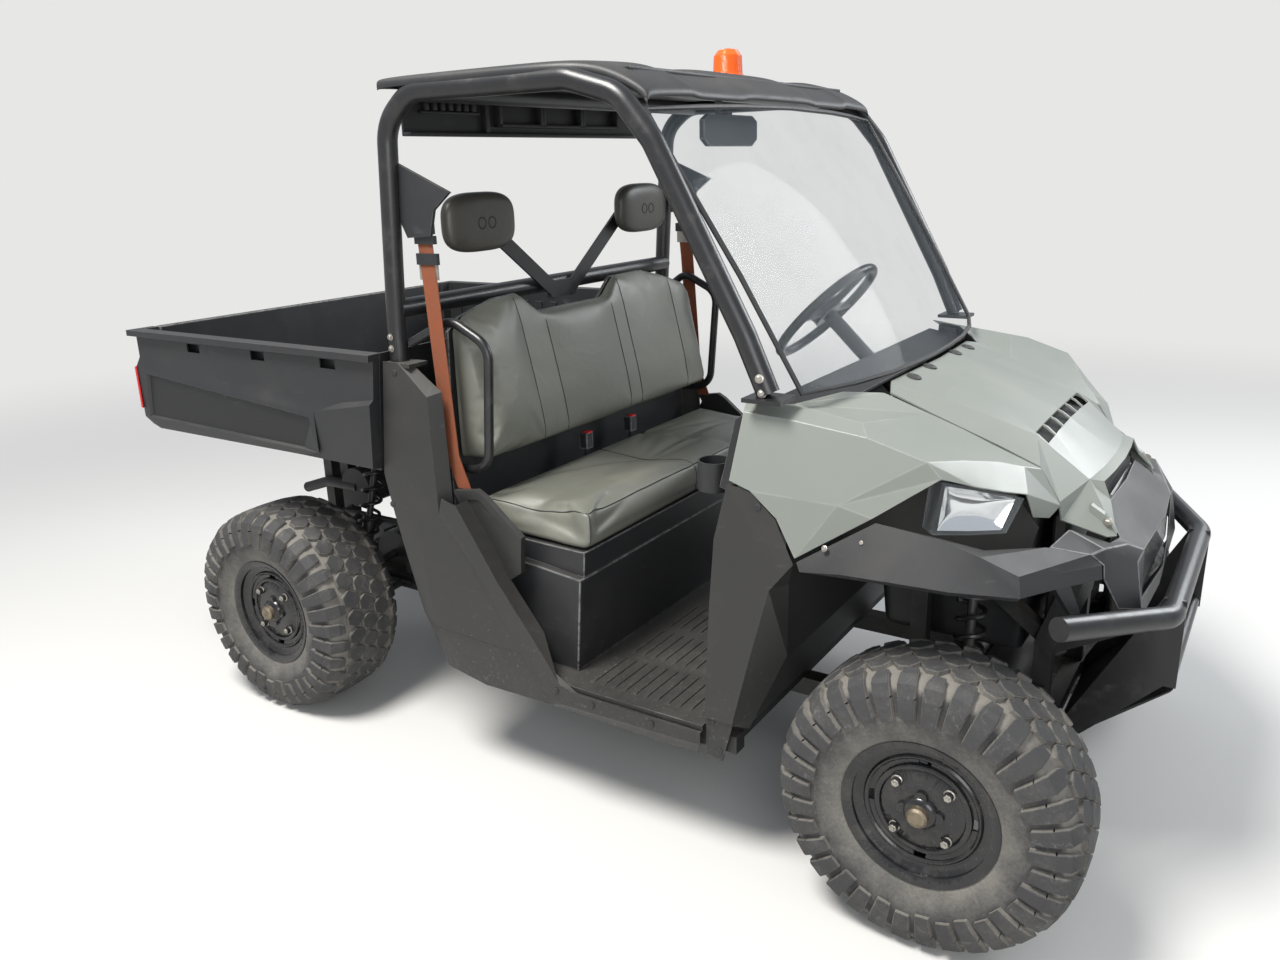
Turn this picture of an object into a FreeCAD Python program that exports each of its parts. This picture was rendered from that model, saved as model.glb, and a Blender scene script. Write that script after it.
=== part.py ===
import FreeCAD, Part
import math
import os
import Sketcher
from FreeCAD import Vector, Placement, Rotation

# A side by side utility vehicle: tubular chassis, open cab under a roll cage,
# tilting cargo bed, tilting hood and four mud tyres on steel rims.
# Millimetres. X points forward, Y to the vehicle's left, Z up; the ground is z = 0.

doc = FreeCAD.newDocument("side_by_side")
sheet = doc.addObject("Spreadsheet::Sheet", "sizes")

# Driving dimensions: word, value, what it measures.
SIZES = [
    ("wheelbase", 2060, "front axle to rear axle"),
    ("front_axle_x", 1090, "front axle from the middle of the vehicle"),
    ("tyre_radius", 326, "tread to axle"),
    ("bead_radius", 152, "where the tyre sits on the rim"),
    ("rim_lip", 168, "radius of the rim's edge"),
    ("front_tread_out", 750, "outer face of a front tyre from the centre plane"),
    ("front_tread_width", 230, "width of a front tyre"),
    ("rear_tread_out", 760, "outer face of a rear tyre from the centre plane"),
    ("rear_tread_width", 275, "width of a rear tyre"),
    ("kingpin_y", 560, "steering axis from the centre plane"),
    ("stub_radius", 20, "stub axle"),
    ("running_fit", 0.3, "gap round a pin in its bore"),
    ("lug_circle", 156, "circle through the four wheel studs"),
    ("rail_y", 230, "chassis rail from the centre plane"),
    ("rail_size", 50, "square chassis tube"),
    ("rail_z", 250, "underside of the chassis rails"),
    ("floor_z", 345, "underside of the cab floor"),
    ("floor_gauge", 14, "thickness of the cab floor"),
    ("panel_y", 700, "outer face of the body sides"),
    ("panel_gauge", 5, "wall of the body panels"),
    ("cage_y", 660, "cage side frame from the centre plane"),
    ("cage_radius", 25, "cage tube"),
    ("bumper_radius", 25, "bumper tube"),
    ("bed_floor_z", 888, "top of the bed floor"),
    ("bed_rail_z", 1178, "top of the bed rail"),
    ("bed_wall_y", 700, "outer face of the bed sides"),
    ("bed_rail_y", 740, "outer edge of the bed rail"),
    ("bed_front_x", -410, "front wall of the bed"),
    ("bed_rear_x", -1458, "inner face of the tailgate"),
    ("bed_gauge", 6, "wall of the bed"),
    ("bed_pivot_x", -1200, "tilt axis of the bed"),
    ("bed_pivot_z", 820, "tilt axis of the bed"),
    ("wheel_hand_radius", 180, "steering wheel rim"),
    ("seat_width", 600, "half width of the bench"),
]

VALUES = {}
for row, (alias, value, note) in enumerate(SIZES, 1):
    sheet.set(f"A{row}", note)
    sheet.set(f"B{row}", str(value))
    sheet.setAlias(f"B{row}", alias)
    VALUES[alias] = value
doc.recompute()


class Length:
    """A length that knows its number and the expression it comes from."""

    def __init__(self, value, text=None):
        self.value = float(value)
        self.text = text if text is not None else repr(float(value))

    @staticmethod
    def of(other):
        return other if isinstance(other, Length) else Length(other)

    def __add__(self, other):
        other = Length.of(other)
        return Length(self.value + other.value, f"({self.text} + {other.text})")

    def __sub__(self, other):
        other = Length.of(other)
        return Length(self.value - other.value, f"({self.text} - {other.text})")

    def __mul__(self, factor):
        return Length(self.value * factor, f"({self.text} * {float(factor)!r})")

    def __truediv__(self, factor):
        return Length(self.value / factor, f"({self.text} / {float(factor)!r})")

    def __neg__(self):
        return Length(-self.value, f"(0 - {self.text})")

    def __radd__(self, other):
        return Length.of(other) + self

    def __rsub__(self, other):
        return Length.of(other) - self

    def __rmul__(self, factor):
        return self * factor

    @property
    def driven(self):
        return "sizes." in self.text


def size(alias):
    return Length(VALUES[alias], f"sizes.{alias}")


def number(length):
    return length.value if isinstance(length, Length) else float(length)


def bind(thing, path, length):
    if isinstance(length, Length) and length.driven:
        thing.setExpression(path, length.text)


# Which way a sketch on each base plane faces, and its axes in the vehicle.
FACING = {"XY": 1, "XZ": -1, "YZ": 1}


def new_body(name):
    body = doc.addObject("PartDesign::Body", name)
    body.AllowCompound = True
    return body


def sketch_on(body, name, plane, level, loops, axis=None):
    """Sketch at a level along the plane's normal axis; a loop is a list of corners or
    (centre, radius)."""
    sketch = body.newObject("Sketcher::SketchObject", name)
    base = next(item for item in body.Origin.OriginFeatures if item.Role == f"{plane}_Plane")
    sketch.AttachmentSupport = [(base, "")]
    sketch.MapMode = "FlatFace"
    offset = Length.of(level) * FACING[plane]
    sketch.AttachmentOffset = Placement(Vector(0, 0, offset.value), Rotation())
    bind(sketch, "AttachmentOffset.Base.z", offset)

    def pin_down(geometry, point, corner):
        for kind, length in (("DistanceX", corner[0]), ("DistanceY", corner[1])):
            index = sketch.addConstraint(
                Sketcher.Constraint(kind, -1, 1, geometry, point, number(length)))
            bind(sketch, f"Constraints[{index}]", length)

    if axis:
        start, end = axis
        line = sketch.addGeometry(Part.LineSegment(
            Vector(number(start[0]), number(start[1]), 0),
            Vector(number(end[0]), number(end[1]), 0)), True)
        pin_down(line, 1, start)
        pin_down(line, 2, end)
    for loop in loops:
        if isinstance(loop, tuple):
            centre, radius = loop
            middle = Vector(number(centre[0]), number(centre[1]), 0)
            circle = sketch.addGeometry(
                Part.Circle(middle, Vector(0, 0, 1), number(radius)), False)
            pin_down(circle, 3, centre)
            index = sketch.addConstraint(
                Sketcher.Constraint("Radius", circle, number(radius)))
            bind(sketch, f"Constraints[{index}]", radius)
            continue
        first = None
        for corner, after in zip(loop, loop[1:] + loop[:1]):
            line = sketch.addGeometry(Part.LineSegment(
                Vector(number(corner[0]), number(corner[1]), 0),
                Vector(number(after[0]), number(after[1]), 0)), False)
            if first is None:
                first = line
            else:
                sketch.addConstraint(Sketcher.Constraint("Coincident", line - 1, 2, line, 1))
            pin_down(line, 1, corner)
        sketch.addConstraint(Sketcher.Constraint("Coincident", line, 2, first, 1))
    return sketch


def pad(body, name, plane, low, high, *loops):
    """Material between two levels, low < high along the vehicle's axis."""
    start = low if FACING[plane] > 0 else high
    sketch = sketch_on(body, f"{name}_sketch", plane, start, list(loops))
    feature = body.newObject("PartDesign::Pad", name)
    feature.Profile = sketch
    depth = Length.of(high) - Length.of(low)
    feature.Length = depth.value
    bind(feature, "Length", depth)
    return feature


def pocket(body, name, plane, low, high, *loops):
    """Cut between two levels, low < high along the vehicle's axis."""
    start = high if FACING[plane] > 0 else low
    sketch = sketch_on(body, f"{name}_sketch", plane, start, list(loops))
    feature = body.newObject("PartDesign::Pocket", name)
    feature.Profile = sketch
    depth = Length.of(high) - Length.of(low)
    feature.Length = depth.value
    bind(feature, "Length", depth)
    return feature


def turn(body, name, plane, level, axis, *loops):
    """Solid of revolution about a line in the sketch."""
    sketch = sketch_on(body, f"{name}_sketch", plane, level, list(loops), axis)
    feature = body.newObject("PartDesign::Revolution", name)
    feature.Profile = sketch
    feature.ReferenceAxis = (sketch, ["Axis0"])
    feature.Angle = 360
    return feature


def block(name, low, high):
    """Box between two corners."""
    box = doc.addObject("Part::Box", name)
    for prop, start, end in zip(("Length", "Width", "Height"), low, high):
        span = Length.of(end) - Length.of(start)
        setattr(box, prop, span.value)
        bind(box, prop, span)
    box.Placement.Base = Vector(*(number(value) for value in low))
    for letter, value in zip("xyz", low):
        bind(box, f"Placement.Base.{letter}", value)
    return box


def rod(name, start, end, radius, bore=None):
    """Round bar or tube between two points."""
    a = Vector(*(number(value) for value in start))
    b = Vector(*(number(value) for value in end))
    bar = doc.addObject("Part::Cylinder", name)
    bar.Radius = number(radius)
    bind(bar, "Radius", radius)
    bar.Height = (b - a).Length
    bar.Placement = Placement(a, Rotation(Vector(0, 0, 1), b - a))
    for letter, value in zip("xyz", start):
        bind(bar, f"Placement.Base.{letter}", value)
    if bore is None:
        return bar
    hole = rod(f"{name}_bore", start, end, bore)
    tube = doc.addObject("Part::Cut", f"{name}_tube")
    tube.Base = bar
    tube.Tool = hole
    return tube


def bent_tube(name, points, radius, bend):
    """Round bar along a path whose corners are arcs."""
    corners = [Vector(*(number(value) for value in point)) for point in points]
    edges = []
    last = corners[0]
    for before, corner, after in zip(corners, corners[1:], corners[2:]):
        back = (before - corner).normalize()
        ahead = (after - corner).normalize()
        half = back.getAngle(ahead) / 2
        reach = min(bend / math.tan(half), 0.48 * (before - corner).Length,
                    0.48 * (after - corner).Length)
        start = corner + back * reach
        end = corner + ahead * reach
        centre = corner + (back + ahead).normalize() * (reach / math.cos(half))
        middle = centre + (corner - centre).normalize() * (reach * math.tan(half))
        edges.append(Part.makeLine(last, start))
        edges.append(Part.Arc(start, middle, end).toShape())
        last = end
    edges.append(Part.makeLine(last, corners[-1]))
    spine = Part.Wire(edges)
    ring = Part.Wire([Part.makeCircle(number(radius), corners[0], corners[1] - corners[0])])
    shape = spine.makePipeShell([ring], True, False, 2)
    feature = doc.addObject("Part::Feature", name)
    feature.Shape = shape
    return feature


def sheet_solid(rows, gauge):
    """Thick faceted sheet through rows of points; gauge is measured behind the face."""
    tall = len(rows)
    wide = len(rows[0])
    front = [[Vector(*(number(value) for value in point)) for point in row] for row in rows]
    triangles = []
    for i in range(tall - 1):
        for j in range(wide - 1):
            a, b = (i, j), (i, j + 1)
            c, d = (i + 1, j + 1), (i + 1, j)
            triangles.append((a, b, c))
            triangles.append((a, c, d))
    lean = {(i, j): Vector(0, 0, 0) for i in range(tall) for j in range(wide)}
    for a, b, c in triangles:
        pa, pb, pc = (front[i][j] for i, j in (a, b, c))
        normal = (pb - pa).cross(pc - pa)
        if normal.Length > 1e-9:
            normal.normalize()
            for key in (a, b, c):
                lean[key] = lean[key] + normal
    back = [[front[i][j] - lean[(i, j)].normalize() * gauge for j in range(wide)]
            for i in range(tall)]
    faces = []

    def face(*points):
        if (points[1] - points[0]).cross(points[2] - points[0]).Length > 1e-6:
            faces.append(Part.Face(Part.makePolygon(list(points) + [points[0]])))

    for a, b, c in triangles:
        face(*(front[i][j] for i, j in (a, b, c)))
        face(*(back[i][j] for i, j in (c, b, a)))
    rim = [(0, j) for j in range(wide)]
    rim += [(i, wide - 1) for i in range(1, tall)]
    rim += [(tall - 1, j) for j in range(wide - 2, -1, -1)]
    rim += [(i, 0) for i in range(tall - 2, 0, -1)]
    for (i, j), (k, m) in zip(rim, rim[1:] + rim[:1]):
        face(front[k][m], front[i][j], back[i][j])
        face(front[k][m], back[i][j], back[k][m])
    shell = Part.makeShell(faces)
    shell.sewShape()
    solid = Part.makeSolid(shell)
    if solid.Volume < 0:
        solid.reverse()
    return solid


def skin(name, rows, gauge):
    feature = doc.addObject("Part::Feature", name)
    feature.Shape = sheet_solid(rows, number(gauge))
    return feature


def folded_sheet(corners, facets, gauge, core, both_halves=False):
    """Thick sheet folded from flat facets. A facet lists its corners' names; the core
    is a point on the sheet's hidden side. With both_halves the right half is mirrored."""
    points = {key: Vector(*(number(value) for value in corner))
              for key, corner in corners.items()}
    loops = [facet.split() for facet in facets]
    if both_halves:
        twin = {key: (key if abs(point.y) < 1e-6 else f"{key}_left")
                for key, point in points.items()}
        for key, other in list(twin.items()):
            points[other] = Vector(points[key].x, -points[key].y, points[key].z)
            if key == other:
                points[key] = Vector(points[key].x, 0, points[key].z)
        for key, corner in corners.items():
            points[key] = Vector(*(number(value) for value in corner))
        loops += [[twin[key] for key in loop] for loop in loops]
    triangles = []
    for loop in loops:
        for second, third in zip(loop[1:], loop[2:]):
            triangles.append([loop[0], second, third])
    sides = {}
    for index, triangle in enumerate(triangles):
        for start, end in zip(triangle, triangle[1:] + triangle[:1]):
            sides.setdefault(frozenset((start, end)), []).append(index)
    # Turn every facet the way its neighbour faces, starting from one that faces outward.
    settled = set()
    for seed in range(len(triangles)):
        if seed in settled:
            continue
        a, b, c = (points[key] for key in triangles[seed])
        if (b - a).cross(c - a).dot(a - Vector(*core)) < 0:
            triangles[seed].reverse()
        settled.add(seed)
        waiting = [seed]
        while waiting:
            index = waiting.pop()
            triangle = triangles[index]
            for start, end in zip(triangle, triangle[1:] + triangle[:1]):
                for other in sides[frozenset((start, end))]:
                    if other in settled:
                        continue
                    twin_edges = list(zip(triangles[other],
                                          triangles[other][1:] + triangles[other][:1]))
                    if (start, end) in twin_edges:
                        triangles[other].reverse()
                    settled.add(other)
                    waiting.append(other)
    facing = []
    around = {key: [] for key in points}
    for triangle in triangles:
        a, b, c = (points[key] for key in triangle)
        facing.append((b - a).cross(c - a).normalize())
        for key in triangle:
            around[key].append(facing[-1])
    back = {}
    for key, normals in around.items():
        if not normals:
            continue
        lean = Vector(0, 0, 0)
        for normal in normals:
            lean = lean + normal
        lean.normalize()
        slope = max(0.5, min(lean.dot(normal) for normal in normals))
        back[key] = points[key] - lean * (gauge / slope)
    faces = []

    def face(*loop):
        if (loop[1] - loop[0]).cross(loop[2] - loop[0]).Length > 1e-6:
            faces.append(Part.Face(Part.makePolygon(list(loop) + [loop[0]])))

    for triangle in triangles:
        face(*(points[key] for key in triangle))
        face(*(back[key] for key in reversed(triangle)))
        for start, end in zip(triangle, triangle[1:] + triangle[:1]):
            if len(sides[frozenset((start, end))]) == 1:
                face(points[end], points[start], back[start])
                face(points[end], back[start], back[end])
    shell = Part.makeShell(faces)
    shell.sewShape()
    solid = Part.makeSolid(shell)
    if solid.Volume < 0:
        solid.reverse()
    return solid


def folded(name, corners, facets, gauge, core, both_halves=False):
    feature = doc.addObject("Part::Feature", name)
    feature.Shape = folded_sheet(corners, facets, number(gauge), core, both_halves)
    return feature


def whole_row(half):
    """Row across the vehicle from its right half, centre point last."""
    return half + [(x, -number(y), z) for x, y, z in reversed(half[:-1])]


def fuse(name, *items):
    joined = doc.addObject("Part::MultiFuse", name)
    joined.Shapes = list(items)
    joined.Refine = True
    return joined


def cut(name, base, *tools):
    result = doc.addObject("Part::Cut", name)
    result.Base = base
    result.Tool = tools[0] if len(tools) == 1 else fuse(f"{name}_tools", *tools)
    result.Refine = True
    return result


def mirrored(item, name=None):
    """The same piece on the vehicle's other side."""
    copy = doc.addObject("Part::Mirroring", name or f"{item.Name}_left")
    copy.Source = item
    copy.Normal = Vector(0, 1, 0)
    copy.Base = Vector(0, 0, 0)
    return copy


def group(name, *items):
    joined = doc.addObject("Part::Compound", name)
    joined.Links = list(items)
    return joined


NODES = {}


def node(name, item):
    item.Label = name
    NODES[name] = item
    return item


front_x = size("front_axle_x")
rear_x = front_x - size("wheelbase")
axle_z = size("tyre_radius")
kingpin = size("kingpin_y")
rail_y = size("rail_y")
rail_z = size("rail_z")
tube = size("rail_size")
floor_low = size("floor_z")
floor_top = floor_low + size("floor_gauge")
panel_y = size("panel_y")
panel_gauge = size("panel_gauge")
cage_y = size("cage_y")
cage_r = size("cage_radius")
fit = size("running_fit")
stub = size("stub_radius")

# Tyres and steel rims. Each wheel turns on its stub axle.
WHEELS = [
    # name, axle x, side, outer face, tread width, rim width
    ("front_right", front_x, -1, size("front_tread_out"), size("front_tread_width"), 172),
    ("front_left", front_x, 1, size("front_tread_out"), size("front_tread_width"), 172),
    ("rear_right", rear_x, -1, size("rear_tread_out"), size("rear_tread_width"), 222),
    ("rear_left", rear_x, 1, size("rear_tread_out"), size("rear_tread_width"), 222),
]
bead = size("bead_radius")
LUGS = 34
for corner, axle_x, side, outer, width, rim_width in WHEELS:
    middle = outer - width / 2
    half = width / 2
    axis = ((-10, axle_z), (10, axle_z))
    lip = middle + half * 0.86
    tail = lip - rim_width

    def at(distance, radius):
        """Sketch corner: distance from the centre plane, radius from the axle."""
        return (distance * side, axle_z + radius)

    tread = size("tyre_radius")
    if side < 0:
        tyre = new_body(f"tyre_{corner}_body")
        crown = half * 0.56
        profile = [
            at(lip - 11.5, bead + fit), at(lip - 5.5, size("rim_lip") + 1),
            at(lip - 2, size("rim_lip") + 8), at(middle + half * 0.955, bead + 75),
            at(middle + half * 0.965, tread - 62), at(middle + half * 0.9, tread - 33),
            at(middle + half * 0.6, tread - 14), at(middle + crown, tread - 2),
            at(middle, tread), at(middle - crown, tread - 2),
            at(middle - half * 0.6, tread - 14), at(middle - half * 0.9, tread - 33),
            at(middle - half * 0.965, tread - 62), at(middle - half * 0.955, bead + 75),
            at(tail + 2, size("rim_lip") + 8), at(tail + 5.5, size("rim_lip") + 1),
            at(tail + 11.5, bead + fit), at(tail + 28, bead + fit),
            at(middle - half * 0.86, bead + 78), at(middle - half * 0.8, tread - 46),
            at(middle, tread - 30), at(middle + half * 0.8, tread - 46),
            at(middle + half * 0.86, bead + 78), at(lip - 28, bead + fit),
        ]
        turn(tyre, f"tyre_{corner}_carcass", "YZ", axle_x, axis, profile)
        teeth = []
        for way in (-1, 1):
            teeth.append([
                at(middle + half * 0.60 * way, tread - 3),
                at(middle + half * 0.93 * way, tread - 21),
                at(middle + half * way, tread - 54),
                at(middle + half * 0.98 * way, tread - 88),
                at(middle + half * 0.94 * way, tread - 88),
                at(middle + half * 0.87 * way, tread - 36),
                at(middle + half * 0.58 * way, tread - 18)])
        lug = pad(tyre, f"tyre_{corner}_lug", "YZ", axle_x - 20, axle_x + 20, *teeth)
        ring = tyre.newObject("PartDesign::PolarPattern", f"tyre_{corner}_lugs")
        ring.Originals = [lug]
        ring.Axis = (doc.getObject(f"tyre_{corner}_carcass_sketch"), ["Axis0"])
        ring.Angle = 360
        ring.Occurrences = LUGS
        tyre.Tip = ring
        node(f"tyre_{corner}", tyre)
    else:
        node(f"tyre_{corner}", mirrored(NODES[f"tyre_{corner.replace('left', 'right')}"],
                                        f"tyre_{corner}_copy"))

    rim = new_body(f"rim_{corner}_body")
    disc = lip - 26
    profile = [
        at(lip, size("rim_lip")), at(lip, size("rim_lip") - 4), at(lip - 8, bead - 4),
        at(disc + 8, bead - 4), at(disc, bead - 18), at(disc - 6, 96), at(disc + 8, 60),
        at(disc + 8, 32), at(disc + 20, 30), at(disc + 22, 0), at(disc + 16, 0),
        at(disc + 14, stub + fit), at(disc - 84, stub + fit), at(disc - 84, 46),
        at(disc - 18, 46), at(disc - 14, 88), at(disc - 12, 100), at(disc - 6, bead - 22),
        at(disc - 22, bead - 5), at(tail + 8, bead - 5), at(tail, size("rim_lip") - 4),
        at(tail, size("rim_lip")), at(tail + 5, size("rim_lip")), at(tail + 11, bead),
        at(lip - 11, bead), at(lip - 5, size("rim_lip")),
    ]
    turn(rim, f"rim_{corner}_spun", "YZ", axle_x, axis, profile)
    windows = []
    lobes = []
    for turn_index in range(4):
        face_on = math.radians(90 * turn_index)
        away = Vector(math.cos(face_on), math.sin(face_on), 0)
        along = Vector(-math.sin(face_on), math.cos(face_on), 0)
        windows.append([(axle_x + (away * 105 + along * u + away * v).x,
                         axle_z + (away * 105 + along * u + away * v).y)
                        for u, v in ((-14, 0), (14, 0), (12, 15), (-12, 15))])
        lobes.append((axle_x + 37 * away.x, axle_z + 37 * away.y))
    low, high = (disc - 40, disc + 30) if side > 0 else (-disc - 30, 40 - disc)
    pocket(rim, f"rim_{corner}_windows", "XZ", low, high, *windows)
    for turn_index, place in enumerate(lobes):
        low, high = (disc + 4, disc + 15) if side > 0 else (-disc - 15, -disc - 4)
        pad(rim, f"rim_{corner}_lobe_{turn_index}", "XZ", low, high, (place, 13))
    for turn_index in range(4):
        angle = math.radians(45 + 90 * turn_index)
        place = (axle_x + size("lug_circle") / 2 * math.cos(angle),
                 axle_z + size("lug_circle") / 2 * math.sin(angle))
        inner, outer_end = disc - 12, disc + 16
        low, high = (inner, outer_end) if side > 0 else (-outer_end, -inner)
        pad(rim, f"rim_{corner}_nut_{turn_index}", "XZ", low, high, (place, 10))
    node(f"rim_{corner}", rim)

# Front knuckles: the forging each front wheel turns on, steered about its kingpin.
for hand, side in (("right", -1), ("left", 1)):
    knuckle = new_body(f"knuckle_{hand}_body")

    def across(low, high):
        return (low, high) if side > 0 else (-high, -low)

    pad(knuckle, f"knuckle_{hand}_upright", "XZ", *across(kingpin - 18, kingpin + 18),
        [(front_x - 30, axle_z - 88), (front_x + 30, axle_z - 88), (front_x + 34, axle_z),
         (front_x + 26, axle_z + 88), (front_x - 26, axle_z + 88), (front_x - 34, axle_z)])
    front_out = size("front_tread_out")
    disc = front_out - size("front_tread_width") / 2 + size("front_tread_width") * 0.43 - 26
    pad(knuckle, f"knuckle_{hand}_stub", "XZ", *across(kingpin + 10, disc + 13.5),
        ((front_x, axle_z), stub))
    pad(knuckle, f"knuckle_{hand}_pins", "XY", axle_z - 118, axle_z + 118,
        ((front_x, kingpin * side), 8))
    pad(knuckle, f"knuckle_{hand}_arm", "XY", axle_z - 24, axle_z - 8,
        [(front_x - 20, (kingpin - 14) * side), (front_x - 20, (kingpin + 14) * side),
         (front_x - 126, (kingpin - 4) * side), (front_x - 126, (kingpin - 34) * side)])
    pad(knuckle, f"knuckle_{hand}_rod_pin", "XY", axle_z - 12, axle_z + 20,
        ((front_x - 110, (kingpin - 20) * side), 6))
    node(f"knuckle_{hand}", knuckle)

# Tie rods: the round bars from the steering rack's boots to the knuckle arms.
for hand, side in (("right", -1), ("left", 1)):
    eye_y = (kingpin - 20) * side
    shank = rod(f"tie_rod_{hand}_shank", (front_x - 110, eye_y, axle_z + 6),
                (front_x - 110, (kingpin - 340) * side, axle_z + 6), 8)
    eye = rod(f"tie_rod_{hand}_eye", (front_x - 110, eye_y, axle_z - 3),
              (front_x - 110, eye_y, axle_z + 16), 16)
    hole = rod(f"tie_rod_{hand}_hole", (front_x - 110, eye_y, axle_z - 13),
               (front_x - 110, eye_y, axle_z + 40), 6 + fit)
    node(f"tie_rod_{hand}", cut(f"tie_rod_{hand}_end", fuse(f"tie_rod_{hand}_bar", shank, eye),
                                hole))

# Chassis: welded square tube, two rails with front and rear towers, sill
# outriggers under the doors and the receiver at the tail.
frame = new_body("frame_body")
for hand, side in (("right", -1), ("left", 1)):
    def across(low, high):
        return (low, high) if side > 0 else (-high, -low)

    rail = across(rail_y - tube / 2, rail_y + tube / 2)
    pad(frame, f"rail_{hand}", "XZ", *rail,
        [(-1240, rail_z), (1240, rail_z), (1240, rail_z + tube), (-1240, rail_z + tube)])
    sill = across(size("panel_y") - 60, size("panel_y") - 20)
    pad(frame, f"sill_{hand}", "XZ", *sill,
        [(-240, floor_low - 45), (640, floor_low - 45), (640, floor_low - 0.3),
         (-240, floor_low - 0.3)])
    for index, (x, top) in enumerate(((1215, 560), (920, 820), (-1215, 796), (-460, 836),
                                      (-1130, 790), (-850, 810))):
        tower = across(rail_y - 20, rail_y + 20)
        pad(frame, f"tower_{index}_{hand}", "XZ", *tower,
            [(x - 20, rail_z + 20), (x + 20, rail_z + 20), (x + 20, top), (x - 20, top)])
    pad(frame, f"bed_rail_{hand}", "XZ", *tower,
        [(-1235, 756), (-440, 796), (-440, 836), (-1235, 796)])
    pad(frame, f"hood_rail_{hand}", "XZ", *tower,
        [(1235, 520), (900, 780), (900, 820), (1235, 560)])
    post = across(cage_y - 20, cage_y + 20)
    pad(frame, f"rear_post_{hand}", "XZ", *post,
        [(-391, 1144.7), (-351, 1144.7), (-351, 650), (-225, 344), (-225, 300), (-262, 300),
         (-391, 640)])
    pad(frame, f"front_post_{hand}", "XZ", *across(cage_y - 48, cage_y - 8),
        [(585, 302), (625, 302), (722, 900), (722, 1122.6), (684, 1122.6), (682, 905)])
    pad(frame, f"hood_ear_{hand}", "XZ", *across(rail_y + 20, rail_y + 31),
        [(1195, 545), (1235, 522), (1308, 790), (1325, 832), (1338.2, 843), (1338.2, 849),
         (1326, 857), (1290, 856)])
    pad(frame, f"hood_pin_{hand}", "XZ", *across(rail_y + 22, rail_y + 50),
        ((1330, 848), 4))
    pad(frame, f"bed_ear_{hand}", "XZ", *across(rail_y, rail_y + 20),
        [(-1232, 780), (-1170, 784), (-1184, 836), (-1216, 836)])
    pad(frame, f"bed_pin_{hand}", "XZ", *across(rail_y + 5, rail_y + 114),
        ((size("bed_pivot_x"), size("bed_pivot_z")), 10))
    pad(frame, f"front_shock_bracket_{hand}", "XZ", *across(rail_y + 19, rail_y + 95),
        [(1035, 700), (1085, 700), (1085, 708), (1035, 708)])
    pad(frame, f"rear_shock_bracket_{hand}", "XZ", *across(rail_y + 19, rail_y + 95),
        [(-905, 774), (-855, 774), (-855, 782), (-905, 782)])
    pad(frame, f"fascia_bracket_{hand}", "XZ", *across(rail_y + 6, rail_y + 20),
        [(1225, 535), (1235, 522), (1380, 606), (1380, 640), (1225, 560)])
for index, x in enumerate((-200, 200, 600)):
    pad(frame, f"outrigger_{index}", "YZ", x - 20, x + 20,
        [(-640, 300), (640, 300), (640, 340), (-640, 340)])
pad(frame, "bed_rest", "YZ", -480, -440,
    [(-345, 806.7), (345, 806.7), (345, 846.7), (-345, 846.7)])
pad(frame, "seat_bar", "YZ", -391, -351, [(-645, 700), (645, 700), (645, 740), (-645, 740)])
for index, (x, z) in enumerate(((1215, 260), (920, 260), (920, 780), (-1215, 760),
                                (-1215, 260), (-460, 255), (1215, 520))):
    pad(frame, f"crossbar_{index}", "YZ", x - 20, x + 20,
        [(-rail_y, z), (rail_y, z), (rail_y, z + 40), (-rail_y, z + 40)])
pad(frame, "receiver", "YZ", -1420, -1200,
    [(-38, 262), (38, 262), (38, 338), (-38, 338)])
pocket(frame, "receiver_bore", "YZ", -1421, -1260,
       [(-25.8, 274.2), (25.8, 274.2), (25.8, 325.8), (-25.8, 325.8)])
node("frame", frame)

# Cab floor: moulded tray with the toe board in front.
floor = new_body("floor_body")
pad(floor, "floor_tray", "XZ", -(panel_y - panel_gauge - fit), panel_y - panel_gauge - fit,
    [(-240, floor_low), (640, floor_low), (740, 560), (740, 580), (632, floor_top),
     (-240, floor_top)])
for hand, side in (("right", -1), ("left", 1)):
    low, high = (cage_y - 48 - fit, cage_y - 8 + fit) if side > 0 else (8 - cage_y - fit,
                                                                        48 - cage_y + fit)
    pocket(floor, f"front_post_notch_{hand}", "XZ", low, high,
           [(588, 340), (648, 340), (648, 380), (588, 380)])
    corner_low, corner_high = (636, 702) if side > 0 else (-702, -636)
    pocket(floor, f"toe_corner_{hand}", "XZ", corner_low, corner_high,
           [(644, 340), (800, 340), (800, 600), (644, 600)])
    edge_low, edge_high = (683.6, 702) if side > 0 else (-702, -683.6)
    pocket(floor, f"floor_edge_{hand}", "XZ", edge_low, edge_high,
           [(-242, 340), (99, 340), (99, 362), (-242, 362)])
    end_low, end_high = (651, 702) if side > 0 else (-702, -651)
    pocket(floor, f"floor_end_{hand}", "XZ", end_low, end_high,
           [(556, 340), (646, 340), (646, 400), (556, 400)])
    low, high = (cage_y - 20 - fit, cage_y + 20 + fit) if side > 0 else (-cage_y - 20 - fit,
                                                                         20 - cage_y + fit)
    pocket(floor, f"rear_post_notch_{hand}", "XZ", low, high,
           [(-250, 340), (-220, 340), (-220, 380), (-250, 380)])
node("floor", floor)

# Seat box under the bench.
seat_box = new_body("seat_box_body")
pad(seat_box, "seat_box_shell", "XZ", -620, 620,
    [(-230, floor_top + 0.3), (140, floor_top + 0.3), (160, 620), (-230, 660)])
pocket(seat_box, "seat_box_room", "XZ", -612, 612,
       [(-222, floor_top), (132, floor_top), (152, 612), (-222, 652)])
node("seat_box", seat_box)

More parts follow.
